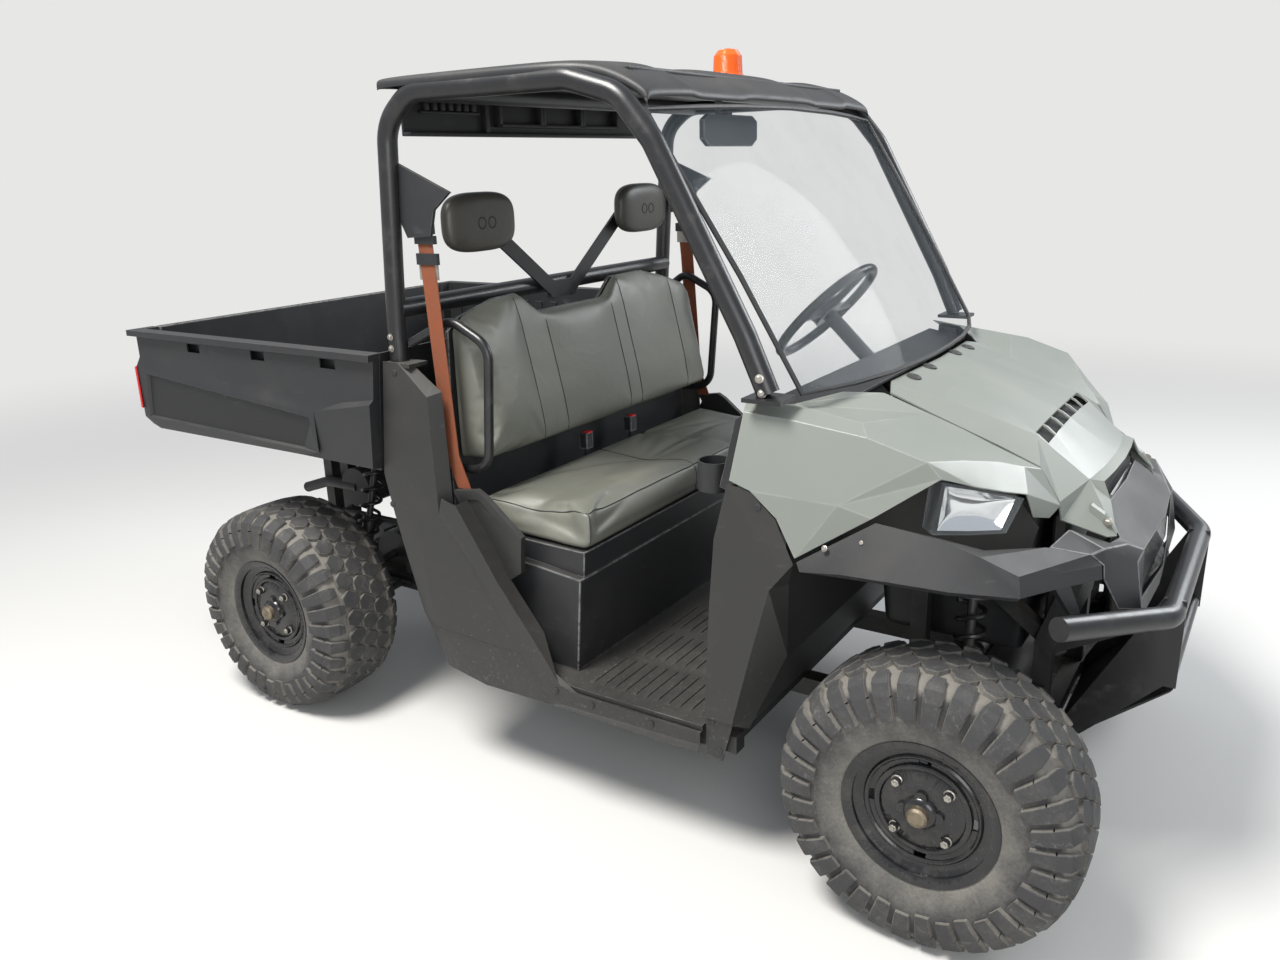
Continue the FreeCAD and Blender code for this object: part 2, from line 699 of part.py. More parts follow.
# Rear body sides: tall mouldings behind each door opening, folded round the rear post,
# with the raised channel that runs down the opening and along the sill.
SIDE = {
    "r0": (-431, -700, 845), "t1": (-393, -700, 1157), "t2": (-338, -700, 1157),
    "f1": (-246, -700, 1076), "f2": (-240, -700, 757), "w3": (-286, -701, 748),
    "w2": (-319, -702, 727), "w1": (-406, -700, 735), "t2i": (-318, -672, 1154),
    "f1i": (-226, -664, 1084), "f2i": (-218, -664, 765), "e1": (-381, -694, 616),
    "g1": (-338, -690, 449), "g2": (-281, -706, 432), "m1": (-118, -700, 627),
    "m2": (22, -700, 418), "h1": (-336, -686, 441), "h2": (-281, -699, 423),
    "h3": (28, -697, 409), "n0": (-307, -685, 391), "n1": (-264, -686, 302),
    "n2": (-127, -689, 279), "n3": (100, -690, 283), "m3": (99, -699, 324),
    "s1": (-222, -704, 806), "s2": (-118, -708, 627), "s3": (22, -708, 418),
    "s4": (99, -708, 326), "s5": (150, -708, 306), "s6": (556, -706, 313),
    "n4": (540, -690, 277), "q1": (-172, -706, 796), "q2": (-39, -708, 600),
    "q3": (63, -708, 472), "q4": (142, -707, 362), "q5": (191, -706, 346),
    "q6": (556, -706, 345), "q1i": (-172, -660, 796), "q2i": (-39, -660, 600),
    "q3i": (63, -660, 472), "q4i": (126, -698, 384), "q5i": (191, -697.3, 346),
    "q6i": (556, -697.3, 345),
}
SIDE_FACETS = [
    "r0 t1 t2 f1 f2 w3 w2 w1", "t2 t2i f1i f1", "f1 f1i f2i f2", "w1 w2 g2 g1 e1",
    "w2 w3 f2 m1 g2", "g2 m1 m2", "g1 g2 h2 h1", "g2 m2 h3 h2", "h1 h2 n1 n0",
    "h2 h3 m3 n3 n2 n1", "f2 s1 s2 m1", "m1 s2 s3 m2", "m2 s3 h3", "h3 s3 s4 m3",
    "m3 s4 s5 n3", "n3 s5 s6 n4", "s1 q1 q2 s2", "s2 q2 q3 s3", "s3 q3 q4 s4",
    "s4 q4 q5 s5", "s5 q5 q6 s6", "q1 q1i q2i q2", "q2 q2i q3i q3", "q3 q3i q4i q4",
    "q4 q4i q5i q5", "q5 q5i q6i q6",
]
side = folded("side_right_sheet", SIDE, SIDE_FACETS, 3.5, (-150, -560, 600))
cheek = new_body("seat_cheek_body")
pad(cheek, "seat_cheek", "XZ", -664, -646,
    [(-214, 819), (-134, 831), (-106, 816), (9, 723), (1, 625), (-65, 579), (-150, 700)])
pocket(cheek, "seat_cheek_recess", "XZ", -665, -660,
       [(-170, 800), (-128, 806), (-22, 722), (-24, 656), (-60, 624), (-140, 730)])
shelf = block("side_shelf", (-393, -698, 1145), (-301, -630, 1155))
side_whole = fuse("side_right_whole", side, cheek, shelf)
node("side_panels", group("side_pair", side_whole, mirrored(side_whole)))

# Front body sides: the moulding ahead of each door opening, turned in behind the
# wheel to the splash wall, and the inner wheel arch walls.
FRONT = {
    "a1": (565, -700, 386), "a2": (581, -700, 685), "a3": (593, -700, 838),
    "a4": (626, -700, 970), "a5": (683, -700, 961), "a6": (741, -700, 908),
    "a7": (784, -700, 814), "a8": (728, -700, 743), "a9": (680, -700, 560),
    "a10": (638, -700, 388), "c1": (566, -693, 379), "c10": (636, -693, 381),
    "d1": (562, -688, 283), "d2": (607, -688, 276), "i7": (748, -640, 822),
    "i8": (748, -640, 742), "i9": (747, -640, 566), "i10": (669, -640, 390),
    "i11": (653, -640, 352), "b1": (578, -672, 386), "b2": (594, -672, 685),
    "b3": (606, -672, 838), "b4": (636, -672, 966),
}
FRONT_FACETS = [
    "a3 a4 a5 a6 a7 a8 a2", "a2 a8 a9 a10 a1", "a1 a10 c10 c1", "c1 c10 d2 d1",
    "a7 i7 i8 a8", "a8 i8 i9 a9", "a9 i9 i10 a10", "a10 i10 c10", "c10 i10 i11",
    "a1 b1 b2 a2", "a2 b2 b3 a3", "a3 b3 b4 a4",
]
front_side = folded("front_side_sheet", FRONT, FRONT_FACETS, 3.5, (620, -600, 640))
splash = block("splash_wall", (740.3, -641, 560), (745, 641, 840))
arch = new_body("arch_wall_body")
pad(arch, "arch_wall", "XZ", -326, -322,
    [(743, 712), (1160, 712), (1196, 850), (1090, 985), (900, 1040), (743, 1060)])
node("front_panels", fuse("front_side_whole", front_side, mirrored(front_side), splash,
                          arch, mirrored(arch)))

# Front fenders: painted panels pressed with sharp folds, from the windshield's foot
# over the wheel to the hook beside the hood.
FENDER = {
    "a": (651, -672, 1127), "a2": (642, -642, 1142), "b": (631, -700.5, 979),
    "b2": (683, -704.5, 964), "p": (745, -704.5, 912), "c": (790, -704.5, 831),
    "m0": (749, -672, 1122), "m": (924, -667, 1101), "k": (1044, -657, 1064),
    "j": (881, -706, 963), "e": (951, -694, 943), "l": (1071, -647, 1030),
    "u0": (735, -602, 1137), "u1": (888, -600, 1112), "u2": (995, -588, 1078),
    "w1": (792, -470, 1144), "w2": (852, -376, 1129), "s1": (952, -358, 1087),
    "s2": (1022, -346, 1058), "s3": (1103, -338, 1023), "s4": (1194, -340, 988),
    "v1": (1085, -560, 1048), "v2": (1130, -450, 1023), "v3": (1168, -392, 1003),
    "x1": (1120, -580, 1003), "x2": (1160, -518, 982), "x3": (1195, -464, 966),
    "h1": (1240, -345, 914), "h2": (1226, -380, 894), "h3": (1204, -430, 907),
}
FENDER_FACETS = [
    "a m0 j b2 b", "m0 m j", "m k j", "b2 j p", "p j c", "j e c", "j k l e",
    "a a2 u0 m0", "m0 u0 u1 m", "m u1 u2 k", "u0 w1 w2 s1 u1", "u1 s1 s2 u2", "u2 s2 s3 v1",
    "u2 v1 k", "v1 s3 v2", "v2 s3 v3", "v3 s3 s4", "k v1 x1 l", "v1 v2 x2 x1", "v2 v3 x3 x2",
    "v3 s4 h1 x3", "x3 h1 h2 h3",
]
fender = folded("fender_right_sheet", FENDER, FENDER_FACETS, 4, (900, -500, 900))
node("fenders", group("fenders_pair", fender, mirrored(fender)))

# Wheel flares: black mouldings under the fenders that turn the corner to the nose.
FLARE = {
    "r": (794, -706, 824), "r2": (806, -716, 808), "t0": (957, -690, 934),
    "t1": (1083, -680, 918), "t2": (1155, -648, 884), "t4": (1224, -620, 847),
    "b1": (900, -730, 826), "b2": (1005, -736, 833), "b3": (1118, -718, 829),
    "b4": (1230, -620, 802), "q1": (905, -712, 812), "q2": (1005, -716, 818),
    "q3": (1112, -700, 814), "q4": (1222, -604, 788),
    "i1": (1052, -625, 902), "i2": (1145, -580, 874), "i3": (1240, -462, 858),
    "f1": (1279, -504, 824), "f2": (1340, -404, 818), "g1": (1284, -508, 794),
    "g2": (1344, -406, 788), "i4": (1315.5, -411, 838.7),
}
FLARE_FACETS = [
    "r t0 b1 r2", "t0 t1 b2 b1", "t1 t2 b3 b2", "t2 t4 b4 b3", "r2 b1 q1", "b1 b2 q2 q1",
    "b2 b3 q3 q2", "b3 b4 q4 q3", "t0 i1 t1", "t1 i1 i2 t2", "t2 i2 i3 t4", "t4 i3 i4 f1",
    "f1 i4 f2", "t4 f1 g1 b4", "f1 f2 g2 g1",
]
flare = folded("flare_right_sheet", FLARE, FLARE_FACETS, 4, (1080, -560, 780))
strut = folded("flare_right_strut", {
    "a": (1270, -527.5, 807), "b": (1292, -485.5, 807), "c": (1318, -462, 728),
    "d": (1304, -484, 728)}, ["a b c d"], 14, (1200, -440, 760))
flare_right = fuse("flare_right_whole", flare, strut)
node("flares", group("flares_pair", flare_right, mirrored(flare_right)))

# Hood: one painted panel, flat on top with folded flanks and two tusks that
# pivot on the nose; six slots let the radiator's air out.
HOOD = {
    "rc": (858, 0, 1145), "ra": (851, -160, 1144), "rb": (840, -300, 1140),
    "rs": (864, -366, 1128), "1c": (953, 0, 1120), "1a": (953, -160, 1119),
    "1b": (953, -285, 1112), "1s": (962, -350, 1084), "2c": (1060, 0, 1082),
    "2a": (1058, -150, 1080), "2b": (1056, -264, 1074), "2s": (1100, -331, 1026),
    "3c": (1165, 0, 1038), "3a": (1163, -140, 1037), "3b": (1158, -242, 1036),
    "3s": (1189, -331, 990), "4c": (1290, 0, 951), "4a": (1284, -120, 948),
    "4b": (1272, -222, 944), "4s": (1236, -338, 920), "5c": (1312, 0, 943),
    "5a": (1308, -110, 941), "5b": (1300, -206, 939), "t1": (1243, -338, 880),
    "t2": (1331, -303, 846), "t3": (1347, -286, 845), "t4": (1318, -212, 900),
}
HOOD_FACETS = [
    "rc ra 1a 1c", "ra rb 1b 1a", "rb rs 1s 1b", "1c 1a 2a 2c", "1a 1b 2b 2a", "1b 1s 2s 2b",
    "2c 2a 3a 3c", "2a 2b 3b 3a", "2b 2s 3s 3b", "3c 3a 4a 4c", "3a 3b 4b 4a", "3b 3s 4s 4b",
    "4c 4a 5a 5c", "4a 4b 5b 5a", "4b 4s t1 t2", "4b t2 t3 t4 5b",
]
hood_skin = folded("hood_sheet", HOOD, HOOD_FACETS, 4, (1080, 0, 700), True)
slots = [block(f"hood_slot_{index}", (1152, -232 + 78 * index, 1000),
               (1182, -232 + 78 * index + 70, 1070)) for index in range(6)]
tusks = []
for hand, side in (("right", -1), ("left", 1)):
    tusk = new_body(f"tusk_{hand}")
    low, high = (266, 284) if side > 0 else (-284, -266)
    pad(tusk, f"tusk_{hand}_pad", "XZ", low, high,
        [(1290, 905), (1318, 888), (1346, 848), (1336, 838), (1322, 842), (1288, 880)])
    pocket(tusk, f"tusk_{hand}_bore", "XZ", low - 1, high + 1, ((1330, 848), 4 + fit))
    tusks.append(tusk)
node("hood", fuse("hood_whole", cut("hood_slotted", hood_skin, *slots), *tusks))

# Front fascia: black moulding between the flares with the shelf under the hood's
# lip, the nose band, the corner pillars and the grille opening.
FASCIA = {
    "m0": (1308, -211, 886), "mc": (1318, 0, 892), "n0": (1350, -262, 836),
    "nc": (1366, 0, 856), "k0": (1338, -306, 834), "j1": (1262, -350, 866),
    "i3": (1244, -456, 857), "i4": (1318, -408, 838), "a": (1339, -380, 846),
    "bk": (1369, -288, 832), "c": (1395, -290, 796), "d": (1363, -368, 796),
    "h0": (1398, -222, 802), "hc": (1412, 0, 816), "pr": (1413, -290, 690),
    "pl": (1377, -370, 714), "hp": (1404, -228, 690), "f2": (1344, -402, 817),
    "g2": (1347, -404, 788), "bl": (1392, -290, 640), "bc": (1416, 0, 640),
    "bh": (1408, -228, 640), "bcc": (1420, 0, 690),
}
FASCIA_FACETS = [
    "m0 mc nc n0", "n0 nc hc h0", "k0 n0 bk", "a k0 bk", "bk n0 h0 c", "a bk c d",
    "j1 i3 i4 a k0", "d c pr pl", "c h0 hp pr", "a i4 f2 d", "d f2 g2 pl",
    "hp bcc bc bh", "pr hp bh bl",
]
node("fascia", folded("fascia_sheet", FASCIA, FASCIA_FACETS, 4, (1200, 0, 700), True))

# Grille: perforated panels under the hood's lip and in the nose opening.
grille = new_body("grille_body")
pad(grille, "upper_grille", "XZ", -206, 206, [(1286, 928), (1289, 928), (1302, 881), (1311.6, 877.1), (1310.2, 873.8), (1299, 879)])
pad(grille, "lower_grille", "XZ", -224, 224, [(1390.8, 798), (1393.8, 798), (1397.8, 690), (1394.8, 690)])
node("grille", grille)

# Headlamps: clear covers between fender and flare with the reflector box behind.
lamp = folded("lamp_right", {
    "ol": (1056, -634, 908), "ou": (1070, -640, 1022), "ml": (1112, -570, 897),
    "mu": (1122, -570, 998), "il": (1168, -504, 890), "iu": (1190, -468, 958)},
    ["ol ou mu ml", "ml mu iu il"], 40, (1000, -400, 900))
node("headlights", group("headlight_pair", lamp, mirrored(lamp)))

# Front bumper of round tube with two upright plates.
bumper_r = size("bumper_radius")
bar = bent_tube("bumper_bar", [(1300, -585, 738), (1471, -300, 689), (1471, 300, 689),
                               (1300, 585, 738)], bumper_r, 90)
plates = []
for hand, side in (("right", -1), ("left", 1)):
    plate = new_body(f"bumper_plate_{hand}")
    low, high = (246, 254) if side > 0 else (-254, -246)
    pad(plate, f"bumper_plate_{hand}_pad", "XZ", low, high,
        [(1470, 505), (1495, 505), (1495, 711), (1450, 711), (1240.3, 300), (1240.3, 262)])
    plates.append(plate)
lower = rod("bumper_lower_bar", (1478, -250, 520), (1478, 250, 520), bumper_r * 0.6)
node("bumper", fuse("bumper_whole", bar, *plates, lower))
skid = new_body("front_skid_body")
pad(skid, "front_skid_plate", "XZ", -245.7, 245.7,
    [(1485, 490), (1490, 498), (1312, 352), (1240, 262), (1240, 256), (1316, 344)])
node("front_skid", skid)

# Roll cage of round tube: two side hoops, four cross bars.
side_hoop = bent_tube("cage_side", [
    (-371, -cage_y, 1155.3), (-371, -cage_y, 1240), (-338, -cage_y, 1745),
    (-250, -cage_y, 1814), (215, -cage_y, 1814), (350, -cage_y, 1775),
    (431, -cage_y, 1680), (543, -cage_y, 1478), (648, -cage_y, 1287), (703.5, -cage_y, 1167)],
    cage_r, 110)
bars = [rod(f"cage_bar_{index}", (x, -cage_y, z), (x, cage_y, z), radius)
        for index, (x, z, radius) in enumerate((
            (-230, 1814, cage_r), (230, 1812, cage_r), (-362, 1290, cage_r),
            (-345, 1560, 16), (560, 1446, 12)))]
shoe = block("cage_shoe", (660, -cage_y - 40, 1153), (750, -cage_y + 40, 1162))
node("roll_cage", fuse("cage_whole", side_hoop, mirrored(side_hoop), shoe, mirrored(shoe),
                       *bars[:3]))

# Roof: one moulded sheet over the cage, with shallow channels and a front brim.
CHANNELS = [(1, 0), (0.93, 0.45), (0.70, 0.9), (0.665, 0.45), (0.33, 0.55), (0.295, 0.95),
            (0, 1)]
SPANS = [  # x at the side and middle, half width, side height, rise to the middle
    (-395, -392, 676, 1843, 10), (-250, -250, 682, 1843, 14), (60, 60, 682, 1843, 15),
    (215, 215, 682, 1843, 12), (285, 285, 644, 1840, 8), (345, 347, 632, 1815, 12),
    (404, 412, 630, 1768, 12),
]
ROOF = []
for side_x, middle_x, half_width, side_z, rise in SPANS:
    ROOF.append([(side_x + (middle_x - side_x) * (1 - part ** 2), -half_width * part,
                  side_z + rise * lift) for part, lift in CHANNELS])
roof_skin = skin("roof_skin", [whole_row(row) for row in ROOF], 5)
roof_feet = [block(f"roof_foot_{index}", (x - 20, y - 25, 1839.3), (x + 20, y + 25, 1854))
             for index, (x, y) in enumerate(((-230, -540), (-230, 540), (230, -540), (230, 540)))]
lamp_seat = rod("beacon_seat", (100, 290, 1847), (100, 290, 1858), 54)
node("roof", fuse("roof_whole", roof_skin, lamp_seat, *roof_feet))

# Belt retractors on gusset plates at the rear pillars, and the shoulder belts.
retractor = new_body("retractor_body")
pad(retractor, "retractor_plate", "XZ", -652, -642,
    [(-352, 1662), (-158, 1580), (-214, 1538), (-232, 1476), (-310, 1470), (-356, 1560)])
pad(retractor, "retractor_case", "XZ", -642, -612,
    [(-318, 1560), (-252, 1560), (-252, 1478), (-300, 1470)])
pillar_room = bent_tube("pillar_room", [(-371, -cage_y, 1240), (-338, -cage_y, 1745),
                                        (-250, -cage_y, 1814), (215, -cage_y, 1814)],
                        cage_r + fit, 110)
retractor = cut("retractor_right", retractor, pillar_room)
node("belt_retractors", group("retractor_pair", retractor, mirrored(retractor)))
BELT = [(-289, -240, -637, 1469.7), (-285, -236, -638, 1412), (-277, -228, -640, 1320),
        (-270, -222, -641, 1217), (-262, -214, -642, 1084), (-250, -202, -643, 911),
        (-214, -168, -643, 822)]
belt = skin("belt_right", [[(low, y, z), (high, y, z)] for low, high, y, z in BELT], 2.4)
node("seat_belts", group("belt_pair", belt, mirrored(belt)))
buckles = []
for index, y in enumerate((-95, 150)):
    buckles.append(rod(f"buckle_stalk_{index}", (-196, y, 699.3), (-186, y, 812), 7))
    case = block(f"buckle_case_{index}", (-204, y - 17, 800), (-174, y + 17, 852))
    buckles.append(case)
node("belt_buckles", group("buckle_group", fuse("buckle_right", *buckles[:2]),
                           fuse("buckle_left", *buckles[2:])))

# Mirror hung from the cage's front cross bar, and the cup ring beside the dash.
mirror = new_body("mirror_body")
pad(mirror, "mirror_case", "YZ", 252, 268,
    [(-150, 1690), (-120, 1672), (120, 1672), (150, 1690), (150, 1738), (120, 1752),
     (-120, 1752), (-150, 1738)])
pad(mirror, "mirror_stem", "YZ", 222, 262, [(-12, 1745), (12, 1745), (12, 1760), (-12, 1760)])
pad(mirror, "mirror_post", "YZ", 222, 238, [(-12, 1745), (12, 1745), (12, 1786.7),
                                            (-12, 1786.7)])
node("mirror", mirror)
cup = rod("cup_ring", (519.6, -560, 905), (519.6, -560, 975), 40, 36)
cup_base = rod("cup_base", (519.6, -560, 905), (519.6, -560, 909), 38)
node("cup_holder", fuse("cup_whole", cup, cup_base))

# Windshield: one clear sheet curved forward.
SCREEN = [
    [(758, -611, 1159), (808, -440, 1156), (834, -280, 1154), (846, -130, 1154), (850, 0, 1154)],
    [(618, -620, 1400), (655, -440, 1396), (676, -280, 1393), (686, -130, 1391), (690, 0, 1390)],
    [(478, -635.5, 1620), (505, -440, 1622), (522, -280, 1624), (530, -130, 1625), (533, 0, 1625)],
    [(398, -635.5, 1745), (418, -440, 1752), (430, -280, 1757), (436, -130, 1760), (438, 0, 1761)],
]
node("windshield", skin("windshield_skin", [whole_row(row) for row in SCREEN], 5))

# Dashboard with the steering column.
dash = new_body("dash_body")
pad(dash, "dash_top", "XZ", -611.7, 611.7,
    [(560, 930), (600, 1090), (640, 1120), (755, 1098), (757, 1092), (650, 1106), (612, 1080),
     (575, 925)])
pad(dash, "dash_side_right", "XZ", -611.7, -606, [(560, 930), (600, 1090), (640, 1120),
                                                (755, 1098), (700, 900)])
pad(dash, "dash_side_left", "XZ", 606, 611.7, [(560, 930), (600, 1090), (640, 1120),
                                             (755, 1098), (700, 900)])
column = rod("column", (740, 350, 871), (413.3, 350, 1184.1), 22)
node("dash", fuse("dash_whole", dash, column))

# Steering wheel.
tilt = Rotation(Vector(0, 0, 1), Vector(-0.722, 0, 0.692))
hub_point = Vector(403, 350, 1194)
ring = doc.addObject("Part::Torus", "wheel_ring")
ring.Radius1 = VALUES["wheel_hand_radius"]
bind(ring, "Radius1", size("wheel_hand_radius"))
ring.Radius2 = 14
ring.Placement = Placement(hub_point, tilt)
spokes = [ring]
for index, angle in enumerate((0, 180, 270)):
    spoke = doc.addObject("Part::Cylinder", f"wheel_spoke_{index}")
    spoke.Radius = 11
    spoke.Height = VALUES["wheel_hand_radius"]
    bind(spoke, "Height", size("wheel_hand_radius"))
    direction = tilt.multVec(Rotation(Vector(0, 0, 1), angle).multVec(Vector(0, 1, 0)))
    spoke.Placement = Placement(hub_point, Rotation(Vector(0, 0, 1), direction))
    spokes.append(spoke)
hub = doc.addObject("Part::Cylinder", "wheel_hub")
hub.Radius = 50
hub.Height = 30
hub.Placement = Placement(hub_point - tilt.multVec(Vector(0, 0, 14)), tilt)
spokes.append(hub)
node("steering_wheel", fuse("wheel_hand_whole", *spokes))

# Bench: cushions, backrest, head restraints and the moulded shell behind them.
CUSHION = [(-180, 700), (162, 690), (184, 720), (184, 790), (150, 805), (0, 782), (-180, 797)]
cushions = new_body("seat_cushions_body")
pad(cushions, "cushion_passenger", "XZ", -size("seat_width"), 185, CUSHION)
pad(cushions, "cushion_driver", "XZ", 195, size("seat_width"), CUSHION)
node("seat_cushions", cushions)
pan = new_body("seat_pan_body")
pad(pan, "seat_pan_plate", "XZ", -600, 600,
    [(-228, 660.3), (-228, 699), (150, 689.7), (162, 689.7), (158, 620.3)])
node("seat_pan", pan)
BACK_TOP = [(585, 1205), (560, 1245), (450, 1280), (330, 1305), (165, 1303), (95, 1243),
            (-240, 1243), (-310, 1303), (-400, 1300), (-540, 1268), (-585, 1235)]
back = new_body("seat_back_body")
pad(back, "seat_back_pad", "XZ", -585, 585,
    [(-262, 876), (-152, 878), (-134, 906), (-150, 1000), (-206, 1230), (-226, 1290),
     (-240, 1306), (-262, 1306)])
pocket(back, "seat_back_humps", "YZ", -264, -100,
       [(-600, 1330), (600, 1330), (600, 1200), *BACK_TOP, (-600, 1225)])
node("seat_back", back)
shell = new_body("seat_shell_body")
pad(shell, "seat_shell_flange", "XZ", -600, 600,
    [(-391, 740.3), (-266, 740.3), (-266, 746), (-391, 746)])
pad(shell, "seat_shell_plate", "YZ", -272, -262.3,
    [(-612, 664), (612, 664), (612, 900), (600, 910)]
    + [(y, z - 8) for y, z in BACK_TOP] + [(-600, 910), (-612, 900)])
node("seat_shell", shell)
rests = new_body("headrests_body")
for hand, side in (("right", -1), ("left", 1)):
    centre = 402 * side
    pad(rests, f"headrest_{hand}", "YZ", -320, -260,
        [(centre - 135, 1440), (centre - 110, 1416), (centre + 110, 1416), (centre + 135, 1440),
         (centre + 135, 1550), (centre + 110, 1576), (centre - 110, 1576), (centre - 135, 1550)])
node("headrests", rests)
arms = new_body("headrest_arms_body")
for hand, side in (("right", -1), ("left", 1)):
    pad(arms, f"rest_arm_{hand}", "YZ", -328, -320.3,
        [(19 * side, 1283), (45 * side, 1247), (343 * side, 1462), (317 * side, 1498)])
pad(arms, "rest_arm_foot", "YZ", -336.7, -320.3,
    [(-62, 1250), (62, 1250), (62, 1300), (-62, 1300)])
node("headrest_arms", arms)
loop = bent_tube("hip_bar", [(-345.5, -641, 1198), (-236, -600, 1262), (-112, -600, 1200),
                             (-140, -600, 867), (-261, -600, 860)], 12.5, 60)
node("hip_bars", group("hip_bar_pair", loop, mirrored(loop)))

# Cargo bed: open box that tilts about its rear mounts.
bed_front = size("bed_front_x")
bed_rear = size("bed_rear_x")
bed_floor = size("bed_floor_z")
bed_top = size("bed_rail_z")
wall = size("bed_gauge")
bed_wall = size("bed_wall_y")
bed = new_body("bed_body")
pad(bed, "bed_box", "XZ", -bed_wall, bed_wall,
    [(bed_rear - 34, 866), (bed_front - 31, 852), (bed_front + 7, bed_top),
     (bed_rear - 34, bed_top)])
pocket(bed, "bed_room", "XZ", wall - bed_wall, bed_wall - wall,
       [(bed_rear - 50, bed_floor), (bed_front - 34, bed_floor),
        (bed_front + 1, bed_top + 5), (bed_rear - 50, bed_top + 5)])
pocket(bed, "bed_under", "XZ", wall - bed_wall, bed_wall - wall,
       [(bed_rear - 50, 800), (bed_front - 44, 800), (bed_front - 34, bed_floor - wall),
        (bed_rear - 50, bed_floor - wall)])
pocket(bed, "bed_floor_end", "XZ", wall - bed_wall, bed_wall - wall,
       [(bed_rear - 50, bed_floor - wall - 5), (bed_rear + 6, bed_floor - wall - 5),
        (bed_rear + 6, bed_floor + 5), (bed_rear - 50, bed_floor + 5)])
for hand, side in (("right", -1), ("left", 1)):
    low, high = (bed_wall - 3, size("bed_rail_y")) if side > 0 else (-size("bed_rail_y"),
                                                                       3 - bed_wall)
    pad(bed, f"bed_rail_{hand}", "XZ", low, high,
        [(bed_rear - 34, bed_top - 18), (bed_front + 4, bed_top - 18), (bed_front + 7, bed_top),
         (bed_rear - 34, bed_top)])
    low, high = (bed_wall - 14, bed_wall - 3) if side > 0 else (3 - bed_wall, 14 - bed_wall)
    pad(bed, f"bed_ribs_{hand}", "XY", bed_floor - 1, bed_top - 58,
        *[[(x, low), (x + 34, low), (x + 34, high), (x, high)]
          for x in range(-1424, -470, 72)])
    low, high = (648, bed_wall - 3) if side > 0 else (3 - bed_wall, -648)
    pad(bed, f"bed_post_{hand}", "XZ", low, high,
        [(bed_rear - 34, 866), (bed_rear, 866), (bed_rear, bed_top), (bed_rear - 34, bed_top)])
    pocket(bed, f"gate_bore_{hand}", "XZ", *((647, 672) if side > 0 else (-672, -647)),
           ((bed_rear - 20, bed_floor + 8), 6 + fit))
    low, high = (300, 340) if side > 0 else (-340, -300)
    pad(bed, f"bed_runner_{hand}", "XZ", low, high,
        [(-1400, bed_floor - wall - 35), (-1225, bed_floor - wall - 35), (-1218, 798),
         (-1182, 798), (-1175, bed_floor - wall - 35), (-450, bed_floor - wall - 35),
         (-450, bed_floor - wall + 2), (-1400, bed_floor - wall + 2)])
    pocket(bed, f"bed_pivot_bore_{hand}", "XZ", low - 1, high + 1,
           ((size("bed_pivot_x"), size("bed_pivot_z")), 10 + fit))
pad(bed, "bed_floor_ribs", "YZ", bed_rear + 30, bed_front - 60,
    *[[(y - 14, bed_floor - 1), (y + 14, bed_floor - 1), (y + 10, bed_floor + 4),
       (y - 10, bed_floor + 4)] for y in range(-600, 601, 75)])
BED_SIDE = {
    "u0": (-1492, -701, 1168), "v0": (-1470, -722, 1168), "u1": (-405, -722, 1168),
    "b0": (-1470, -722, 1092), "b1": (-546, -724, 1036), "b2": (-417, -724, 1056),
    "d1": (-419, -738, 1044), "c0": (-1470, -738, 1064), "c1": (-644, -740, 1004),
    "e0": (-1470, -736, 902), "e1": (-1405, -730, 868), "e2": (-725, -730, 868),
    "e3": (-440, -730, 864), "u2": (-1492, -701, 868), "tl": (-1422, -739, 1044),
    "tr": (-669, -740, 985), "br": (-642, -739, 886), "bl": (-1440, -738, 903),
    "il": (-1415, -731, 1037), "ir": (-674, -731, 979), "jr": (-649, -731, 892),
    "jl": (-1433, -731, 909), "g1": (-1405, -697, 862), "g2": (-725, -697, 860),
    "g3": (-440, -697, 858), "f1": (-405, -697, 1168),
}
BED_FACETS = [
    "u0 v0 b0 u2", "b0 c0 u2", "c0 e0 u2", "e0 e1 u2", "v0 u1 b2 b1 b0", "b0 b1 c1 c0",
    "b1 b2 d1", "b1 d1 c1", "c1 d1 e3", "c1 e3 e2", "c1 e2 br", "c1 br tr", "c0 c1 tr tl",
    "c0 tl bl e0", "bl e1 e0", "bl e2 e1", "bl br e2", "tl tr ir il", "tr br jr ir",
    "br bl jl jr", "bl tl il jl", "il ir jr jl", "e1 e2 g2 g1", "e2 e3 g3 g2",
    "u1 f1 b2", "b2 f1 g3 d1", "d1 g3 e3",
]
bed_side = folded("bed_right_sheet", BED_SIDE, BED_FACETS, 4, (-900, -640, 1000))
pockets = [block(f"tie_pocket_{index}", (x - 30, -745, 1126), (x + 30, -702, 1152))
           for index, x in enumerate((-1180, -880, -585))]
bed_side = cut("bed_right_side", bed_side, *pockets)
bed_and_right = fuse("bed_and_right", bed, bed_side)
node("bed", fuse("bed_whole", bed_and_right, mirrored(bed_side)))
gate = new_body("tailgate_body")
pad(gate, "tailgate_panel", "YZ", bed_rear - 34, bed_rear - 6,
    [(-640, 882), (640, 882), (640, bed_top), (-640, bed_top)])
pad(gate, "tailgate_pins", "XZ", -668, 668, ((bed_rear - 20, bed_floor + 8), 6))
node("tailgate", gate)
lights = new_body("tail_lights_body")
for hand, side in (("right", -1), ("left", 1)):
    pad(lights, f"tail_light_{hand}", "XY", 930, 1064,
        [(bed_rear - 34.3, 652 * side), (bed_rear - 40, 654 * side),
         (bed_rear - 40, 704 * side), (bed_rear - 17, 742 * side),
         (bed_rear - 8, 742 * side), (bed_rear - 8, 738.6 * side),
         (bed_rear - 12.4, 738.4 * side), (bed_rear - 34.3, 701.5 * side)])
node("tail_lights", lights)

